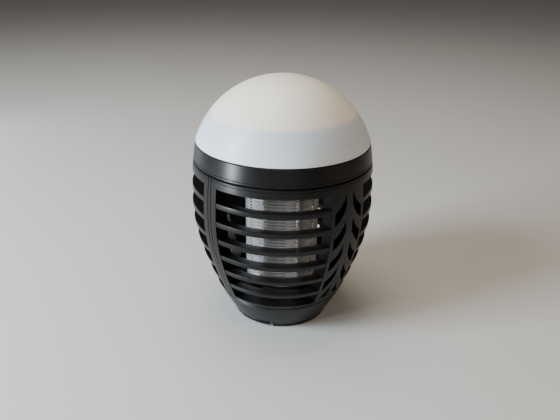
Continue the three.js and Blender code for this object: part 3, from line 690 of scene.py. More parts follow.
def makeCage():
    windowLow, windowHigh = cageBottom + cage["sill"], cageTop - cage["head"]
    flange = bodyRadius(cageTop) - cage["ribDepth"] - cage["flangeReach"]
    slot = (windowHigh - windowLow - (cage["slots"] - 1) * cage["bladeThickness"]) / cage["slots"]
    pitch = slot + cage["bladeThickness"]
    edge = cage["edge"]
    outside = groovedProfile(cageBottom + edge, cageTop - edge, 56, cage["lines"])
    inside = profile(cageBottom, windowHigh, cage["ribDepth"], 40)[::-1]
    rim = [(bodyRadius(cageTop) - edge, cageTop), (flange, cageTop), (flange, windowHigh)]
    outline = [(bodyRadius(cageBottom) - edge, cageBottom)] + outside + rim + inside
    shell = turned("guardCage", outline, 160)
    posts = [(bearing, cage["pillarWidth"]) for bearing in cage["pillars"]]
    posts += [(bearing, cage["columnWidth"]) for bearing in cage["columns"]]
    posts.sort()
    cutters, blades = [], []
    for i, (bearing, width) in enumerate(posts):
        nextBearing, nextWidth = posts[(i + 1) % len(posts)]
        start = bearing + width / 2
        end = nextBearing - nextWidth / 2 + (360 if i == len(posts) - 1 else 0)
        near, far = windowReach[0], body["widestRadius"] + windowReach[1]
        gap = [(near, windowLow), (far, windowLow), (far, windowHigh), (near, windowHigh)]
        cutters.append(turned("window", gap, 72, start, end))
        for number in range(1, cage["slots"]):
            blades.append(bladeMesh(number, start, end, windowLow, pitch))
    for bearing in cage["pillars"]:
        cutters.append(pocketMesh(bearing, cage["pillarWidth"], cage["pocketWall"], windowLow, windowHigh))
        for side in (-1, 1):
            middle = bearing + side * cage["grooveSpread"]
            half = math.degrees(cage["groove"] / 2 / body["widestRadius"])
            floor = profile(cageBottom + 1, cageTop + 1, cage["grooveDepth"], 40)
            outer = profile(cageBottom + 1, cageTop + 1, -2, 40)[::-1]
            cutters.append(turned("groove", floor + outer, 144, middle - half, middle + half))
    for bearing in cage["columns"]:
        chevronPitch = (windowHigh - windowLow + cage["overrun"]) / cage["chevrons"]
        for number in range(cage["chevrons"]):
            level = windowHigh - cage["chevronDrop"] - number * chevronPitch
            for side in (-1, 1):
                cutters.append(chevronMesh(bearing, side, level, windowLow + cage["pocketWall"]))
    opened = combine(shell, cutters, "DIFFERENCE")
    piece = objectFrom("guardCage", combine(opened, blades, "UNION"), "shell")
    louvres = [f"{side}_louvres" for side in ("front", "right", "back", "left")]
    install(piece, "housing", "black_shell", "guard_cage", *louvres)


dome = {"centreBelowRim": 13.2, "wall": 2, "skirtWall": 1.6, "edge": 0.25, "seam": 0.06, "fit": 0.3}
shoulder = {"wall": 2.2, "edge": 0.45, "floor": 2, "line": 1.4, "ledge": 2, "gap": 0.3,
            "leadHole": 1.5, "screwHole": 1.4}


def domeRadius(level, inset):
    centre = shoulderTop - dome["centreBelowRim"]
    share = (shoulderTop - centre) / (domeTop - centre)
    across = body["rimRadius"] / math.sqrt(1 - share**2) - inset
    return across * math.sqrt(max(0, 1 - ((level - centre) / (domeTop - centre - inset)) ** 2))


def domeProfile(inset, low, steps):
    high = domeTop - inset
    points = []
    for i in range(steps + 1):
        level = low + (high - low) * math.sin(math.pi / 2 * i / steps)
        points.append((0 if i == steps else domeRadius(level, inset), level))
    return points


def makeDome():
    low = shoulderTop + dome["seam"]
    skirt = body["rimRadius"] - shoulder["wall"] - dome["fit"]
    skirtInner = skirt - dome["skirtWall"]
    outer = domeProfile(0, low + dome["edge"], 60)
    lip = arcCorner((skirt, low), (domeRadius(low, 0), low), outer[1], dome["edge"], 5)
    inner = domeProfile(dome["wall"], low + dome["wall"], 40)[::-1]
    outline = [(skirtInner, domeSkirt), (skirt, domeSkirt), (skirt, low)] + lip + outer[1:] + inner
    outline.append((skirtInner, low + dome["wall"]))
    piece = objectFrom("domeDiffuser", turned("domeDiffuser", outline, 160), "opal", 50)
    install(piece, "housing", "opal_dome", "dome_diffuser")


def makeShoulder():
    edge, bore = shoulder["edge"], body["rimRadius"] - shoulder["wall"]
    floorTop = shoulderBottom + shoulder["floor"]
    seal = spanOf("dome_seal")
    ledge, ledgeTop = seal[1].x - shoulder["ledge"], seal[0].z - shoulder["gap"]
    line = shoulderBottom + shoulder["line"]
    outside = groovedProfile(shoulderBottom + edge, shoulderTop - edge, 16, (line,))
    outline = [(0, shoulderBottom), (bodyRadius(shoulderBottom) - edge, shoulderBottom)] + outside
    outline += [(body["rimRadius"] - edge, shoulderTop), (bore, shoulderTop), (bore, ledgeTop)]
    outline += [(ledge, ledgeTop), (ledge, floorTop), (0, floorTop)]
    holes = [boreAt("power_lead", shoulder["leadHole"], shoulderBottom, floorTop)]
    for number in (1, 2, 3):
        holes.append(boreAt(f"shoulder_screw_{number}", shoulder["screwHole"], shoulderBottom, floorTop))
    ring = combine(turned("shoulderRing", outline, 160), holes, "DIFFERENCE")
    install(objectFrom("shoulderRing", ring, "shell"), "housing", "black_shell", "shoulder_ring")


coil = {"radius": 18.2, "wire": 0.35, "pitch": 3.2, "segments": 72}


def makeCoil():
    for name, node, phase in (("coilWireA", "coil_wire_a", 0), ("coilWireB", "coil_wire_b", 180)):
        low, high = levelsOf(node)
        start = low + coil["wire"]
        turns = round((high - low - 2 * coil["wire"]) / coil["pitch"])
        points = []
        for i in range(turns * coil["segments"] + 1):
            share = i / coil["segments"]
            points.append(spot(coil["radius"], phase + 360 * share, start + coil["pitch"] * share))
        piece = objectFrom(name, tubeMesh(name, points, coil["wire"] * mm), "wire", 60)
        install(piece, "housing", "coil_wire", node)


base = {"wall": 2, "recess": 2, "floor": 1.6, "rimInset": 0.5, "rimWidth": 3.3, "rimBottom": 1.2,
        "underEdges": (0, 0.3, 0.4, 0.5, 0), "corner": 0.02, "topEdge": 0.35, "line": 1.4, "screwHole": 1.4,
        "bezelWidth": 18, "bezelUnder": 2.4, "bezelEdge": 0.7,
        "portWidth": 9.4, "portHeight": 5, "portEdge": 0.6, "portFrom": 20, "coverOverlap": 1.3,
        "seam": 0.3, "slip": 0.3}
bail = {"bearing": -25, "gap": 0.4, "width": 3.1, "height": 2.6, "edge": 0.7, "pin": 0.7, "pinWall": 0.8,
        "pinStart": 0.8, "pinNose": 0.25, "proud": 0.5, "lipHeight": 2, "lipHalf": 16, "lipEdge": 0.55,
        "clearance": 2.5, "footGap": 1, "eyeInset": 0.15, "eyeEdge": 0.3, "eyeSlack": 0.02,
        "ridges": 7, "ridgeStep": 3.2, "ridgeHalf": 0.7, "ridgeDepth": 0.22}
pinSteps = ((0.1, 0), (0, 0.2), (0, 0.6), (0.14, 0.7), (0.14, 0.9), (0, 1.0))  # inset, distance along
rimOuter = body["baseRadius"] - base["rimInset"]
rimInner = rimOuter - base["rimWidth"]
bailOuter = rimInner - bail["gap"]
bailInner = bailOuter - bail["width"]
lipReach = body["baseRadius"] + bail["proud"]
underside = body["baseBottom"] + base["recess"]
floorTop = underside + base["floor"]
pinLevel = underside - base["seam"] - bail["height"] / 2
pinBearings = (bail["bearing"] + 90, bail["bearing"] - 90)


def makeBaseCup():
    top, edge = levelsOf("base_cup")[1], base["topEdge"]
    face = spanOf("port_cover")[0].y - base["seam"]
    wide, tall = base["portWidth"] / 2, base["portHeight"] / 2
    portMiddle = levelsOf("port_cover")[1] - base["coverOverlap"] - tall
    under = [(0, underside), (rimInner, underside), (rimInner, base["rimBottom"])]
    under += [(rimOuter, base["rimBottom"]), (rimOuter, body["baseBottom"])]
    outline = rounded(under, base["underEdges"])
    outline += groovedProfile(body["baseBottom"] + base["corner"], top - edge, 20, (top - base["line"],))
    outline += [(bodyRadius(top) - edge, top), (0, top)]
    half, bezelLow = base["bezelWidth"] / 2, portMiddle - tall - base["bezelUnder"]
    bezel = slab((-half, 0, bezelLow), (half, face, top), base["bezelEdge"], 3)
    room = [(0, floorTop)] + profile(floorTop, top + 1, base["wall"], 16) + [(0, top + 1)]
    reach, slip = bail["lipHalf"] + bail["clearance"], base["slip"]
    start, end = bail["bearing"] - reach, bail["bearing"] + reach
    notch = band(rimInner - slip, lipReach + slip, -slip, underside, 0, 3, 180, start, end)
    portLow, portHigh = (-wide, base["portFrom"], portMiddle - tall), (wide, face + 2, portMiddle + tall)
    tools = [turned("room", room, 120), notch, slab(portLow, portHigh, base["portEdge"], 3)]
    for name in ("lamp", "zapper"):
        tools.append(boreAt(f"{name}_button", button["radius"] + slip, underside, floorTop))
    for number in (1, 2, 3):
        tools.append(boreAt(f"base_screw_{number}", base["screwHole"], underside, floorTop))
    pinHole = rodMesh(bail["pin"] + slip, rimInner - 2, rimOuter - bail["pinWall"])
    tools += [outward(pinHole.copy(), bearing, pinLevel) for bearing in pinBearings]
    cup = combine(combine(turned("baseCup", outline, 160), [bezel], "UNION"), tools, "DIFFERENCE")
    install(objectFrom("baseCup", cup, "shell"), "housing", "black_shell", "base_cup")


foot = {"inset": 0.3, "lift": 0.25, "edge": 0.15, "treads": 54, "treadInset": 0.2, "treadTop": 0.4,
        "treadHalf": 1.9, "treadEdges": (0.12, 0.12, 0, 0)}


def makeFootRing():
    start = bail["bearing"] + bail["lipHalf"] + bail["clearance"] + bail["footGap"]
    end = start + 360 - 2 * (start - bail["bearing"])
    inner, outer = rimInner + foot["inset"], rimOuter - foot["inset"]
    top, inset, half = levelsOf("foot_ring")[1], foot["treadInset"], foot["treadHalf"]
    parts = [(band(inner, outer, foot["lift"], top, foot["edge"], 3, 180, start, end), "rubber")]
    for i in range(foot["treads"]):
        at = start + (end - start) * (i + 0.5) / foot["treads"]
        treadSize = (inner + inset, outer - inset, 0, foot["treadTop"], foot["treadEdges"])
        parts.append((band(*treadSize, 3, 360, at - half, at + half), "rubber"))
    install(gather("footRing", parts), "housing", "foot_rubber", "foot_ring")


def makeBail():
    middle, half = bail["bearing"], bail["lipHalf"]
    low, high = pinLevel - bail["height"] / 2, pinLevel + bail["height"] / 2
    lipTop, edge, inset = low + bail["lipHeight"], bail["lipEdge"], bail["eyeInset"]
    hoop = band(bailInner, bailOuter, low, high, bail["edge"], 4, 180, middle - 90, middle + 90)
    edges = (0, edge, edge, 0)
    tools = [band(bailOuter - 1, lipReach, low, lipTop, edges, 4, 360, middle - half, middle + half)]
    eye = rodMesh(bail["height"] / 2 - bail["eyeSlack"], bailInner + inset, bailOuter - inset, bail["eyeEdge"])
    bore = rodMesh(bail["pin"] + base["slip"], bailInner - 3, bailOuter + 3)
    tools += [outward(eye.copy(), bearing, pinLevel) for bearing in pinBearings]
    cutters = [outward(bore.copy(), bearing, pinLevel) for bearing in pinBearings]
    reach = lipReach - bail["ridgeDepth"]
    for i in range(bail["ridges"]):
        at = middle + (i - (bail["ridges"] - 1) / 2) * bail["ridgeStep"]
        start, end = at - bail["ridgeHalf"], at + bail["ridgeHalf"]
        cutters.append(band(reach, lipReach + 1, low - 1, lipTop + 1, 0, 3, 360, start, end))
    made = combine(combine(hoop, tools, "UNION"), cutters, "DIFFERENCE")
    install(objectFrom("hangingBail", made, "shell"), "bail", "black_shell", "hanging_bail")
    start, end = bailInner - bail["pinStart"], rimOuter - bail["pinWall"] - base["slip"]
    radius, nose = bail["pin"], bail["pinNose"]
    neck = [(0, start)] + [(radius - inset, start + along) for inset, along in pinSteps]
    neck += [(radius, end - nose), (radius - nose, end), (0, end)]
    for number, bearing in enumerate(pinBearings, 1):
        pin = outward(turned("pin", neck, 32), bearing, pinLevel)
        install(objectFrom(f"bailPin{number}", pin, "steel"), "housing", "pin_steel", f"bail_pin_{number}")


button = {"radius": 4.2, "flange": 5, "flangeHeight": 0.6, "flangeEdge": 0.15, "dish": 0.35, "edge": 0.45,
          "dishShape": ((0, 1), (1.5, 0.9), (2.6, 0.45), (3.2, 0)), "mark": 0.32, "markStep": 1.1,
          "markLevels": (0.08, 0.8), "markEdge": 0.14}


def makeButtons():
    for name, marks in (("lamp", 1), ("zapper", 3)):
        node = f"{name}_button"
        low, high = levelsOf(node)
        radius, edge, flangeLow = button["radius"], button["flangeEdge"], high - button["flangeHeight"]
        outline = [(across, low + button["dish"] * share) for across, share in button["dishShape"]]
        outline += arcCorner(outline[-1], (radius, low), (radius, flangeLow), button["edge"], 5)
        flange = [(radius, flangeLow), (button["flange"], flangeLow), (button["flange"], high), (0, high)]
        outline += rounded(flange, (edge, edge, edge, 0))
        parts = [(above(node, turned("cap", outline, 72)), "button")]
        markLow, markHigh = (low + rise for rise in button["markLevels"])
        for i in range(marks):
            mark = rodMesh(button["mark"], markLow, markHigh, button["markEdge"], 20)
            shift = (i - (marks - 1) / 2) * button["markStep"]
            parts.append((above(node, moved(mark, (shift, 0, 0))), "button"))
        install(gather(f"{name}Button", parts), f"{name}_key", "button_cap", node)
        makeSwitch(name)


switch = {"inset": 0.1, "bodyRise": 0.25, "plate": (0.18, 0.38), "plateInset": 0.3,
          "knob": 1.1, "knobHeight": 0.4, "legAt": (1.9, 1.2), "legHalf": (0.3, 0.2), "legHeight": 0.3}


def makeSwitch(name):
    low, high = spanOf(f"{name}_switch")
    middle, inset, plateInset = (low + high) / 2, switch["inset"], switch["plateInset"]
    plateLow, plateHigh = (low.z + rise for rise in switch["plate"])
    caseLow = (low.x + inset, low.y + inset, low.z + switch["bodyRise"])
    caseHigh = (high.x - inset, high.y - inset, high.z)
    case = slab(caseLow, caseHigh, 0.1)
    plate = slab((low.x, low.y + plateInset, plateLow), (high.x, high.y - plateInset, plateHigh), 0.06)
    knob = above(f"{name}_switch", rodMesh(switch["knob"], low.z, low.z + switch["knobHeight"], 0.08, 32))
    parts = [(case, "ferrite"), (plate, "steel"), (knob, "button")]
    halfX, halfY = switch["legHalf"]
    leg = slab((-halfX, -halfY, high.z - switch["legHeight"]), (halfX, halfY, high.z), 0.05)
    for x in (-switch["legAt"][0], switch["legAt"][0]):
        for y in (-switch["legAt"][1], switch["legAt"][1]):
            parts.append((moved(leg.copy(), (middle.x + x, middle.y + y, 0)), "steel"))
    install(gather(f"{name}Switch", parts), "housing", "ferrite", f"{name}_switch")


cover = {"edge": 0.45, "pull": 0.4, "barrelEdge": 0.3, "plugGap": (0.5, 0.6), "plugDepth": 1.2, "plugInto": 0.3,
         "plugDrop": 0.1, "plugEdge": 0.4, "ribs": 4, "ribHalf": (3.2, 0.2), "ribFrom": 0.8, "ribStep": 0.75,
         "ribDepth": (0.7, 0.12), "ribEdge": 0.15}


def makePortCover():
    low, high = spanOf("port_cover")
    barrel = (high.y - low.y) / 2
    hinge = low.z + barrel
    plate = slab((low.x, low.y, hinge), (high.x, high.y - cover["pull"], high.z), cover["edge"], 3)
    roll = rodMesh(barrel, -high.x, high.x, cover["barrelEdge"])
    wide, tall = base["portWidth"] / 2 - cover["plugGap"][0], base["portHeight"] / 2 - cover["plugGap"][1]
    middle = high.z - base["coverOverlap"] - base["portHeight"] / 2 - cover["plugDrop"]
    back, front = low.y - cover["plugDepth"], low.y + cover["plugInto"]
    parts = [plate, moved(roll, (0, low.y + barrel, hinge), about("Y", 90)),
             slab((-wide, back, middle - tall), (wide, front, middle + tall), cover["plugEdge"], 3)]
    half, thin = cover["ribHalf"]
    back, front = (high.y - depth for depth in cover["ribDepth"])
    for i in range(cover["ribs"]):  # finger ribs along the top edge
        z = high.z - cover["ribFrom"] - i * cover["ribStep"]
        parts.append(slab((-half, back, z - thin), (half, front, z + thin), cover["ribEdge"]))
    piece = gather("portCover", [(mesh, "rubber") for mesh in parts])
    install(piece, "port_flap", "cover_rubber", "port_cover")


screw = {"shank": 1.1, "head": 2.2, "headHeight": 1.3,
         "threadPitch": 0.8, "threadDepth": 0.22, "threadFrom": 1.0,
         "slotWidth": 0.5, "slotReach": 1.3, "slotDepth": 0.8, "slotTurn": 20,
         "tip": ((0, 0), (0.45, 0), (0.9, 0.8)),
         "crown": ((1, 0.45), (0.88, 0.8), (0.55, 1), (0, 1)), "underHead": (0.1, 0.15)}


def screwMesh(length):
    shank, head, height = screw["shank"], screw["head"], screw["headHeight"]
    pitch, root = screw["threadPitch"], shank - screw["threadDepth"]
    outline = [(shank * across, rise - length) for across, rise in screw["tip"]]
    level = screw["threadFrom"] - length
    while level < -pitch:
        outline += [(root, level), (shank, level + pitch * 0.35), (root, level + pitch * 0.7)]
        level += pitch
    outline += [(shank, 0), (head - screw["underHead"][0], 0), (head, screw["underHead"][1])]
    outline += [(head * across, height * rise) for across, rise in screw["crown"]]
    reach, half, low = screw["slotReach"], screw["slotWidth"] / 2, height - screw["slotDepth"]
    slot = slab((-reach, -half, low), (reach, half, height + 1), 0.1)
    slots = [moved(slot.copy(), turn=about("Z", turn + screw["slotTurn"])) for turn in (0, 90)]
    return combine(turned("screw", outline, 48), slots, "DIFFERENCE")


def makeScrews():
    seats = {}
    for family, turn in (("shoulder", 0), ("base", 180)):
        low, high = levelsOf(f"{family}_screw_1")
        seat = low + screw["headHeight"] if turn else high - screw["headHeight"]
        mesh = moved(screwMesh(high - low - screw["headHeight"]), turn=about("X", turn))
        seats[family] = moved(mesh, (0, 0, seat))
    for number in (1, 2, 3):
        for family, mesh in seats.items():
            node = f"{family}_screw_{number}"
            piece = objectFrom(f"{family}Screw{number}", above(node, mesh.copy()), "steel")
            install(piece, "housing", "screw_steel", node)


# inside the cage: decks, former, light tube and ultraviolet strip
deck = {"thickness": 2, "collarWall": 2.2, "collarGap": 0.3, "boss": 2.7, "bossInto": 0.5, "bossHole": 1.4,
        "leadHole": 1.5, "ribs": 12, "ribFirst": 15, "ribHalf": 0.5, "ribHeight": 0.9, "ribInset": 4,
        "edge": 0.35, "corner": 0.1, "seam": 0.3}


def makeDecks():
    edge, corner = deck["edge"], deck["corner"]
    collarInner = spanOf("coil_former")[1].x + deck["collarGap"]
    collarOuter = collarInner + deck["collarWall"]
    screws = [f"base_screw_{number}" for number in (1, 2, 3)]
    low, high = spanOf("lower_deck")
    deckTop = levelsOf("coil_former")[0] - deck["seam"]
    deckLow = deckTop - deck["thickness"]
    plate = [(0, deckLow), (high.x, deckLow), (high.x, deckTop), (collarOuter, deckTop), (collarOuter, high.z),
             (collarInner, high.z), (collarInner, deckTop), (0, deckTop)]
    outline = rounded(plate, (0, edge, edge, edge, edge, edge, corner, 0))
    extra = [above(node, rodMesh(deck["boss"], low.z, deckLow + deck["bossInto"])) for node in screws]
    half, inner, outer = deck["ribHalf"], collarOuter - 0.5, high.x - deck["ribInset"]
    for i in range(deck["ribs"]):
        rib = slab((inner, -half, deckTop - 0.5), (outer, half, deckTop + deck["ribHeight"]), 0.25)
        extra.append(moved(rib, turn=about("Z", 360 * i / deck["ribs"] + deck["ribFirst"])))
    holes = [above(node, rodMesh(deck["bossHole"], low.z - 1, low.z + 6)) for node in screws]
    holes.append(boreAt("power_lead", deck["leadHole"], low.z, high.z))
    made = combine(combine(turned("lowerDeck", outline, 120), extra, "UNION"), holes, "DIFFERENCE")
    install(objectFrom("lowerDeck", made, "inner"), "housing", "black_inner", "lower_deck")
    low, high = spanOf("upper_deck")
    deckLow = high.z - deck["thickness"]
    plate = [(0, deckLow), (collarInner, deckLow), (collarInner, low.z), (collarOuter, low.z),
             (collarOuter, deckLow), (high.x, deckLow), (high.x, high.z), (0, high.z)]
    outline = rounded(plate, (0, corner, edge, edge, corner, edge, edge, 0))
    hole = boreAt("power_lead", deck["leadHole"], low.z, high.z)
    made = combine(turned("upperDeck", outline, 120), [hole], "DIFFERENCE")
    install(objectFrom("upperDeck", made, "inner"), "housing", "black_inner", "upper_deck")


former = {"ringWall": 2.8, "ringEdge": 0.3, "ribDepth": 1.4, "ribWidth": 1.6, "ribs": 6, "first": -30,
          "endGap": 1.2, "ribInset": 0.1, "wireGap": 0.3,
          "tooth": 0.5, "toothHalf": (0.55, 0.22), "toothClear": 2}


def makeFormer():
    low, high = spanOf("coil_former")
    outer, inner = high.x, high.x - former["ringWall"]
    lowerTop = levelsOf("lower_deck")[1] - former["endGap"]
    upperLow = levelsOf("upper_deck")[0] + former["endGap"]
    ends = ((low.z, lowerTop), (upperLow, high.z))
    parts = [band(inner, outer, *levels, former["ringEdge"], 3, 120) for levels in ends]
    wireLow = levelsOf("coil_wire_a")[0] + coil["wire"]
    ribOuter = coil["radius"] - coil["wire"] - former["wireGap"]
    ribInner, half = ribOuter - former["ribDepth"], former["ribWidth"] / 2
    wide, tall = former["toothHalf"]
    between = coil["pitch"] / 2
    for i in range(former["ribs"]):
        bearing = former["first"] + 360 / former["ribs"] * i
        ribLow, ribHigh = low.z + former["ribInset"], high.z - former["ribInset"]
        rib = slab((-half, -ribOuter, ribLow), (half, -ribInner, ribHigh), 0.2)
        parts.append(moved(rib, turn=about("Z", bearing)))
        first = wireLow + coil["pitch"] * ((bearing % 180) / 360 + 0.25)
        for k in range(int((upperLow - lowerTop - former["toothClear"]) / between)):  # between each two turns
            z = first + between * k
            toothLow = (-wide, -ribOuter - former["tooth"], z - tall)
            tooth = slab(toothLow, (wide, -ribOuter + 0.3, z + tall), 0.1, 1)
            parts.append(moved(tooth, turn=about("Z", bearing)))
    install(gather("coilFormer", [(mesh, "former") for mesh in parts]), "housing", "coil_former", "coil_former")


tube = {"wall": 1.6, "edge": 0.5}
strip = {"parts": 7, "chip": (3.4, 4.6), "chipHalf": 0.6, "chipHeight": 0.5, "endAt": 0.75, "endHalf": 0.15,
         "endHeight": 0.42, "pad": 0.5, "padAt": -4.4, "padHalf": 0.25, "padLift": 0.1}


def makeTube():
    low, high = spanOf("light_tube")
    piece = objectFrom("lightTube", band(high.x - tube["wall"], high.x, low.z, high.z, tube["edge"], 4), "tube")
    install(piece, "housing", "light_tube", "light_tube")
    low, high = spanOf("uv_board")
    parts = [(slab(low, high, 0.15), "board")]
    near, far = strip["chip"]
    for side, face in ((-1, low.y), (1, high.y)):
        for k in range(strip["parts"]):
            z = low.z + (high.z - low.z) * (k + 0.5) / strip["parts"]
            end = (strip["endHalf"], strip["endHeight"], 0.06, "steel")
            rows = [(z, strip["chipHalf"], strip["chipHeight"], 0.12, "ferrite")]
            rows += [(z - strip["endAt"], *end), (z + strip["endAt"], *end)]
            for at, half, height, edge, finish in rows:
                back, front = sorted((face, face + side * height))
                parts.append((slab((near, back, at - half), (far, front, at + half), edge), finish))
            pad = rodMesh(strip["pad"], -strip["padHalf"], strip["padHalf"], 0.1, 20)
            place = (strip["padAt"], face + side * strip["padLift"], z)
            parts.append((moved(pad, place, about("X", 90)), "steel"))
    install(gather("uvBoard", parts), "housing", "circuit_board", "uv_board")


led = {"base": 0.55, "lens": ((0, 0.5), (0.78, 0.5), (0.74, 0.66), (0.55, 0.86), (0.28, 0.97), (0, 1)),
       "padAt": 0.62, "padHalf": 0.35, "padLength": 0.99, "padHeight": 0.14}


def makeLeds():
    names = [f"lantern_led_{number}" for number in range(1, 7)]
    for side in ("front", "rear"):
        names += [f"uv_led_{side}_{number}" for number in (1, 2, 3)]
    for node in names:
        low, high = spanOf(node)
        middle, size = (low + high) / 2, high - low
        if "lantern" in node:
            family, finish, depth = "lantern_led", "led", size.z
            place, turn = (middle.x, middle.y, low.z), None
        else:
            family, finish, depth = "uv_led", "uv", size.y
            front = "front" in node
            place, turn = (middle.x, high.y if front else low.y, middle.z), about("X", 90 if front else -90)
        half = size.x / 2
        lens = [(half * across, depth * rise) for across, rise in led["lens"]]
        case = slab((-half, -half, 0), (half, half, depth * led["base"]), 0.15)
        parts = [(case, "white"), (turned("lens", lens, 40), finish)]
        length = half * led["padLength"]
        for side in (-1, 1):
            at = half * led["padAt"] * side
            pad = slab((at - led["padHalf"], -length, 0), (at + led["padHalf"], length, led["padHeight"]), 0.04)
            parts.append((pad, "steel"))
        for mesh, _ in parts:
            moved(mesh, place, turn)
        name = "".join(word.capitalize() if i else word for i, word in enumerate(node.split("_")))
        install(gather(name, parts), "housing", family, node)


lead = {"steps": 240, "turns": 9, "end": 0.5, "fill": 0.96, "core": 0.5, "coreLength": 1.2}


def makeLead():
    low, high = spanOf("power_lead")
    middle, strand = (low + high) / 2, (high.x - low.x) / 4
    parts = []
    for phase, finish in ((0, "lead"), (180, "rubber")):
        points = []
        for i in range(lead["steps"] + 1):
            share = i / lead["steps"]
            angle = math.radians(phase + 360 * lead["turns"] * share)
            level = low.z + lead["end"] + (high.z - low.z - 2 * lead["end"]) * share
            points.append(Vector((math.cos(angle) * strand, middle.y + math.sin(angle) * strand, level)) * mm)
        parts.append((tubeMesh("strand", points, strand * lead["fill"] * mm, 10), finish))
        side = math.cos(math.radians(phase)) * strand
        for z in (low.z, high.z - lead["coreLength"]):
            core = rodMesh(strand * lead["core"], z, z + lead["coreLength"], 0.1, 16)
            parts.append((moved(core, (side, middle.y, 0)), "steel"))
    install(gather("powerLead", parts), "housing", "lead_insulation", "power_lead")


# lantern: seal, reflector, board and battery
seal = {"width": 1.4, "nick": ((0.45, 0.15), (0.7, 0)), "edges": (0.3, 0.2, 0.2, 0.05, 0.1, 0.3)}
reflector = {"flat": 29, "thickness": 1.5, "bend": 1.2, "edge": 0.4, "rings": (24.5, 26.5), "ringWidth": 0.7,
             "ringRise": (0.1, 0.2), "ringEdge": 0.12, "leadHole": 1.5, "leadAt": (0, 12.4, 0)}
chip = {"half": (1.1, 0.6, 0.6), "ends": (0.95, 1.5, 0.55, 0.52), "circle": 9.2, "first": 30}
plug = {"case": (2.6, 2, 0.9), "pins": ((-2.2, 0.9, 0.5), (2.2, 2.4, 0.8)), "padCircle": 19.8, "pad": 1.3,
        "padRise": (0.2, 0.5)}


def makeLantern():
    low, high = spanOf("dome_seal")
    outer, inner = high.x, high.x - seal["width"]
    nick = [(outer - across, high.z - drop) for across, drop in seal["nick"]]
    lip = rounded([(inner, low.z), (outer, low.z), (outer, high.z)] + nick + [(inner, high.z)], seal["edges"])
    piece = objectFrom("domeSeal", turned("domeSeal", lip, 144), "rubber")
    install(piece, "housing", "seal_rubber", "dome_seal")
    low, high = spanOf("lantern_reflector")
    flat, thick, bend, edge = reflector["flat"], reflector["thickness"], reflector["bend"], reflector["edge"]
    tray = [(0, high.z - thick), (flat, high.z - thick), (high.x, low.z)]
    tray += [(high.x, low.z + thick), (flat, high.z), (0, high.z)]
    ringLow, ringHigh = high.z - reflector["ringRise"][0], high.z + reflector["ringRise"][1]
    rings = []
    for inner in reflector["rings"]:
        rings.append(band(inner, inner + reflector["ringWidth"], ringLow, ringHigh, reflector["ringEdge"]))
    hole = moved(rodMesh(reflector["leadHole"], low.z - 1, high.z + 1), reflector["leadAt"])
    made = combine(turned("reflector", rounded(tray, (0, bend, edge, edge, bend, 0)), 144), rings, "UNION")
    made = combine(made, [hole], "DIFFERENCE")
    install(objectFrom("lanternReflector", made, "white"), "housing", "white_plastic", "lantern_reflector")
    low, high = spanOf("lantern_board")
    top = high.z
    parts = [(rodMesh(high.x, low.z, top, 0.12, 120), "board")]
    wide, deep, tall = chip["half"]
    near, far, endDeep, endTall = chip["ends"]
    for i in range(6):
        bearing = chip["first"] + 60 * i
        at = spot(chip["circle"], bearing, 0) / mm
        rows = [(slab((-wide, -deep, top), (wide, deep, top + tall), 0.12), "ferrite"),
                (slab((-far, -endDeep, top), (-near, endDeep, top + endTall), 0.08), "steel"),
                (slab((near, -endDeep, top), (far, endDeep, top + endTall), 0.08), "steel")]
        parts += [(moved(mesh, (at.x, at.y, 0), about("Z", bearing)), finish) for mesh, finish in rows]
    (halfX, halfY, rise), (pinLow, pinHigh) = plug["case"], plug["pins"]
    parts.append((slab((-halfX, -halfY, top), (halfX, halfY, top + rise), 0.3), "white"))
    parts.append((moved(slab(pinLow, pinHigh, 0.1), (0, 0, top)), "steel"))
    under, over = plug["padRise"]
    for i in range(3):
        at = spot(plug["padCircle"], 90 + 120 * i, 0) / mm
        parts.append((moved(rodMesh(plug["pad"], top - under, top + over, 0.25, 32), (at.x, at.y, 0)), "steel"))
    install(gather("lanternBoard", parts), "housing", "circuit_board", "lantern_board")


battery = {"cellInset": 3, "cellEdge": 1.6, "tab": (0.4, 4, 1.5, 3.2, 3.7), "guard": (0, 3.4, 5, 3.9, 4.9),
           "tape": (2.6, 7.5, 3, 0.6), "tapeEdge": 1.2, "tapeTop": 0.02,
           "guardParts": 4, "partFrom": 8, "partStep": 4.2, "part": (0.4, 2.2, 1.6, 4.8, 5.5),
           "wireIn": 9, "wireAt": (1.2, 5.4), "wireStep": (0.12, 0.4, 0.6, 0.28),
           "wirePoints": 12, "wireRise": 6, "wireRadius": 0.5}


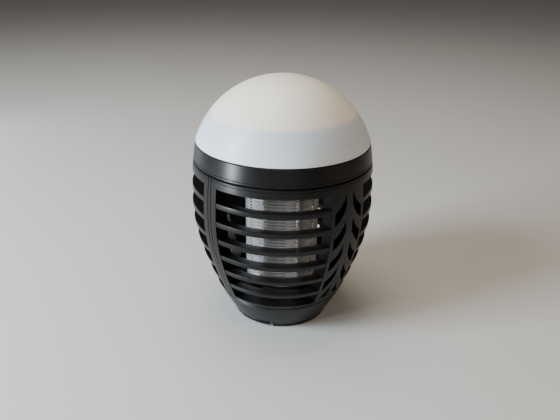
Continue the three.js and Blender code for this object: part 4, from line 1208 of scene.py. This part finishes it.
def makeBattery():
    low, high = spanOf("battery_pack")
    parts = [(slab((low.x + battery["cellInset"], low.y, low.z), high, battery["cellEdge"], 5), "wrap")]
    for key, finish in (("tab", "steel"), ("guard", "board")):
        left, right, inset, bottom, top = battery[key]
        corner = (low.x + right, high.y - inset, low.z + top)
        parts.append((slab((low.x + left, low.y + inset, low.z + bottom), corner, 0.15), finish))
    left, right, inset, bottom = battery["tape"]
    corner = (low.x + right, high.y - inset, high.z - battery["tapeTop"])
    parts.append((slab((low.x + left, low.y + inset, low.z + bottom), corner, battery["tapeEdge"], 4), "tape"))
    left, right, width, bottom, top = battery["part"]
    for k in range(battery["guardParts"]):
        y = low.y + battery["partFrom"] + k * battery["partStep"]
        corner = (low.x + right, y + width, low.z + top)
        parts.append((slab((low.x + left, y, low.z + bottom), corner, 0.12), "ferrite" if k % 2 else "steel"))
    across, turn, sway, rise = battery["wireStep"]
    for y, finish in ((low.y + battery["wireIn"], "lead"), (high.y - battery["wireIn"], "rubber")):
        points = []
        for k in range(battery["wirePoints"]):
            level = low.z + battery["wireAt"][1] + min(k, battery["wireRise"]) * rise
            x = low.x + battery["wireAt"][0] + across * k
            points.append(Vector((x, y + math.sin(k * turn) * sway, level)) * mm)
        parts.append((tubeMesh("wire", points, battery["wireRadius"] * mm, 10), finish))
    install(gather("batteryPack", parts), "housing", "battery_wrap", "battery_pack")


# control board in the base and what it carries; spots are x, y and turn
board = {"tongue": 4.5, "screwClear": 3.0, "sink": 0.05,
         "chip": (0.7, 0.5, 0.5), "end": (0.95, 0.22, 0.48, 0.44),
         "spots": ((-11, 4, 0), (-9, 0.5, 90), (11.5, -2, 90), (12.3, 1.5, 0), (-3.2, 12, 0), (3.4, 12, 90),
                   (-12.5, -1, 90), (8.5, -11, 30), (4.8, -12.4, 0)),
         "driver": ((-7, 7), (-2.4, 10.6), 1.1),
         "legs": 4, "legFrom": -6.6, "legStep": 1.2, "legRows": (6.5, 10.5),
         "leg": (0.45, 0.7, 0.35), "can": (2.1, 1.9, 0.4), "canAt": (-11.2, -4.2, 0)}


def makeBoard():
    low, high = spanOf("control_board")
    top, tongue = high.z, board["tongue"]
    plate = [slab((-tongue, 0, low.z), (tongue, high.y, top), 0.1)]
    plate = combine(rodMesh(high.x, low.z, top, 0.1, 120), plate, "UNION")
    clear = [boreAt(f"base_screw_{number}", board["screwClear"], low.z, top) for number in (1, 2, 3)]
    parts = [(combine(plate, clear, "DIFFERENCE"), "board")]
    wide, deep, tall = board["chip"]
    endAt, endHalf, endDeep, endTall = board["end"]
    base = top - board["sink"]
    for x, y, turn in board["spots"]:
        rows = [(slab((-wide, -deep, base), (wide, deep, top + tall), 0.08), "ferrite")]
        for side in (-1, 1):
            left, right = side * endAt - endHalf, side * endAt + endHalf
            rows.append((slab((left, -endDeep, base), (right, endDeep, top + endTall), 0.06), "steel"))
        parts += [(moved(mesh, (x, y, 0), about("Z", turn)), finish) for mesh, finish in rows]
    near, far, rise = board["driver"]
    parts.append((slab((*near, top), (*far, top + rise), 0.15), "ferrite"))
    wide, deep, tall = board["leg"]
    for k in range(board["legs"]):
        x = board["legFrom"] + k * board["legStep"]
        for y in board["legRows"]:
            parts.append((slab((x, y, top), (x + wide, y + deep, top + tall), 0.06), "steel"))
    radius, height, edge = board["can"]
    parts.append((moved(rodMesh(radius, top, top + height, edge, 40), board["canAt"]), "wire"))
    install(gather("controlBoard", parts), "housing", "circuit_board", "control_board")


transformer = {"core": 2, "leg": (1, 1.4, 0.6), "flange": (2.1, 2.9, 0.3, 0.1),
               "winding": (2.8, 0.8, 0.3, 0.25)}
capacitor = {"cap": 0.8, "shoulder": 0.35, "neck": 0.2, "neckLevels": (1.1, 1.35, 1.6), "top": 0.72}
socket = {"edge": 0.9, "wall": 0.4, "depth": 2.5, "innerEdge": 0.6, "tongue": (1.2, 2.4, 0.8, 0.35),
          "contacts": 5, "contactStep": 0.95, "contactHalf": 0.22, "contactFrom": 3, "contactEnd": 1.1,
          "contactRise": (0.3, 0.42)}


def makeTransformer():
    low, high = spanOf("hv_transformer")
    middle, core = (low + high) / 2, transformer["core"]
    parts = [(slab(low, (low.x + core, high.y, high.z), 0.25), "ferrite"),
             (slab((high.x - core, low.y, low.z), high, 0.25), "ferrite")]
    inset, deep, tall = transformer["leg"]
    legLow = (low.x + inset, middle.y - deep, middle.z - tall)
    legHigh = (high.x - inset, middle.y + deep, middle.z + tall)
    parts.append((slab(legLow, legHigh, 0.1), "ferrite"))
    near, far, side, under = transformer["flange"]
    for left, right in ((low.x + near, low.x + far), (high.x - far, high.x - near)):
        flange = slab((left, low.y + side, low.z + under), (right, high.y - side, high.z - under), 0.12)
        parts.append((flange, "white"))
    end, side, under, over = transformer["winding"]
    windingLow = (low.x + end, low.y + side, low.z + under)
    windingHigh = (high.x - end, high.y - side, high.z - over)
    parts.append((slab(windingLow, windingHigh, 0.7, 4), "tape"))
    install(gather("hvTransformer", parts), "housing", "ferrite", "hv_transformer")


def makeCapacitor():
    low, high = spanOf("hv_capacitor")
    radius, length, middle = (high.x - low.x) / 2, high.y - low.y, (low + high) / 2
    cap, shoulderAt = radius * capacitor["cap"], capacitor["shoulder"]
    first, second, third = capacitor["neckLevels"]
    can = [(0, 0), (cap, 0), (radius, shoulderAt), (radius, first), (radius - capacitor["neck"], second),
           (radius, third), (radius, length - shoulderAt), (cap, length), (0, length)]
    lid = rodMesh(radius * capacitor["top"], length - 0.3, length, 0.05, 40)
    parts = [(turned("can", can, 48), "sleeve"), (lid, "steel")]
    for mesh, _ in parts:
        moved(mesh, (middle.x, low.y, middle.z), about("X", -90))
    install(gather("hvCapacitor", parts), "housing", "capacitor_sleeve", "hv_capacitor")


def makeSocket():
    low, high = spanOf("charging_socket")
    wall, middle = socket["wall"], (low.z + high.z) / 2
    innerLow = (low.x + wall, low.y + socket["depth"], low.z + wall)
    inner = slab(innerLow, (high.x - wall, high.y + 2, high.z - wall), socket["innerEdge"], 4)
    shell = combine(slab(low, high, socket["edge"], 4), [inner], "DIFFERENCE")
    side, back, front, half = socket["tongue"]
    tongueLow = (low.x + side, low.y + back, middle - half)
    tongue = slab(tongueLow, (high.x - side, high.y - front, middle + half), 0.15)
    parts = [(shell, "steel"), (tongue, "ferrite")]
    under, over = socket["contactRise"]
    for k in range(socket["contacts"]):
        x = (k - (socket["contacts"] - 1) / 2) * socket["contactStep"]
        contactLow = (x - socket["contactHalf"], low.y + socket["contactFrom"], middle + under)
        contactHigh = (x + socket["contactHalf"], high.y - socket["contactEnd"], middle + over)
        parts.append((slab(contactLow, contactHigh, 0.05), "wire"))
    install(gather("chargingSocket", parts), "housing", "socket_steel", "charging_socket")


def makeFloor():
    def build(shape):
        bmesh.ops.create_grid(shape, x_segments=8, y_segments=8, size=3.0)

    piece = objectFrom("paleFloor", meshFrom("paleFloor", build), "floor")
    piece.location.z = cadBounds[0].z


makeCamera()
makeLights()
makeFloor()
print("view ready")
makeDome()
makeShoulder()
print("dome and shoulder made")
makeCoil()
makeDecks()
makeFormer()
makeTube()
makeLeds()
makeLead()
print("coil, decks and light tube made")
makeCage()
print("cage made")
makeBaseCup()
makeFootRing()
makeBail()
makeButtons()
makePortCover()
print("base made")
makeScrews()
makeLantern()
makeBattery()
makeBoard()
makeTransformer()
makeCapacitor()
makeSocket()
print("inner parts made")
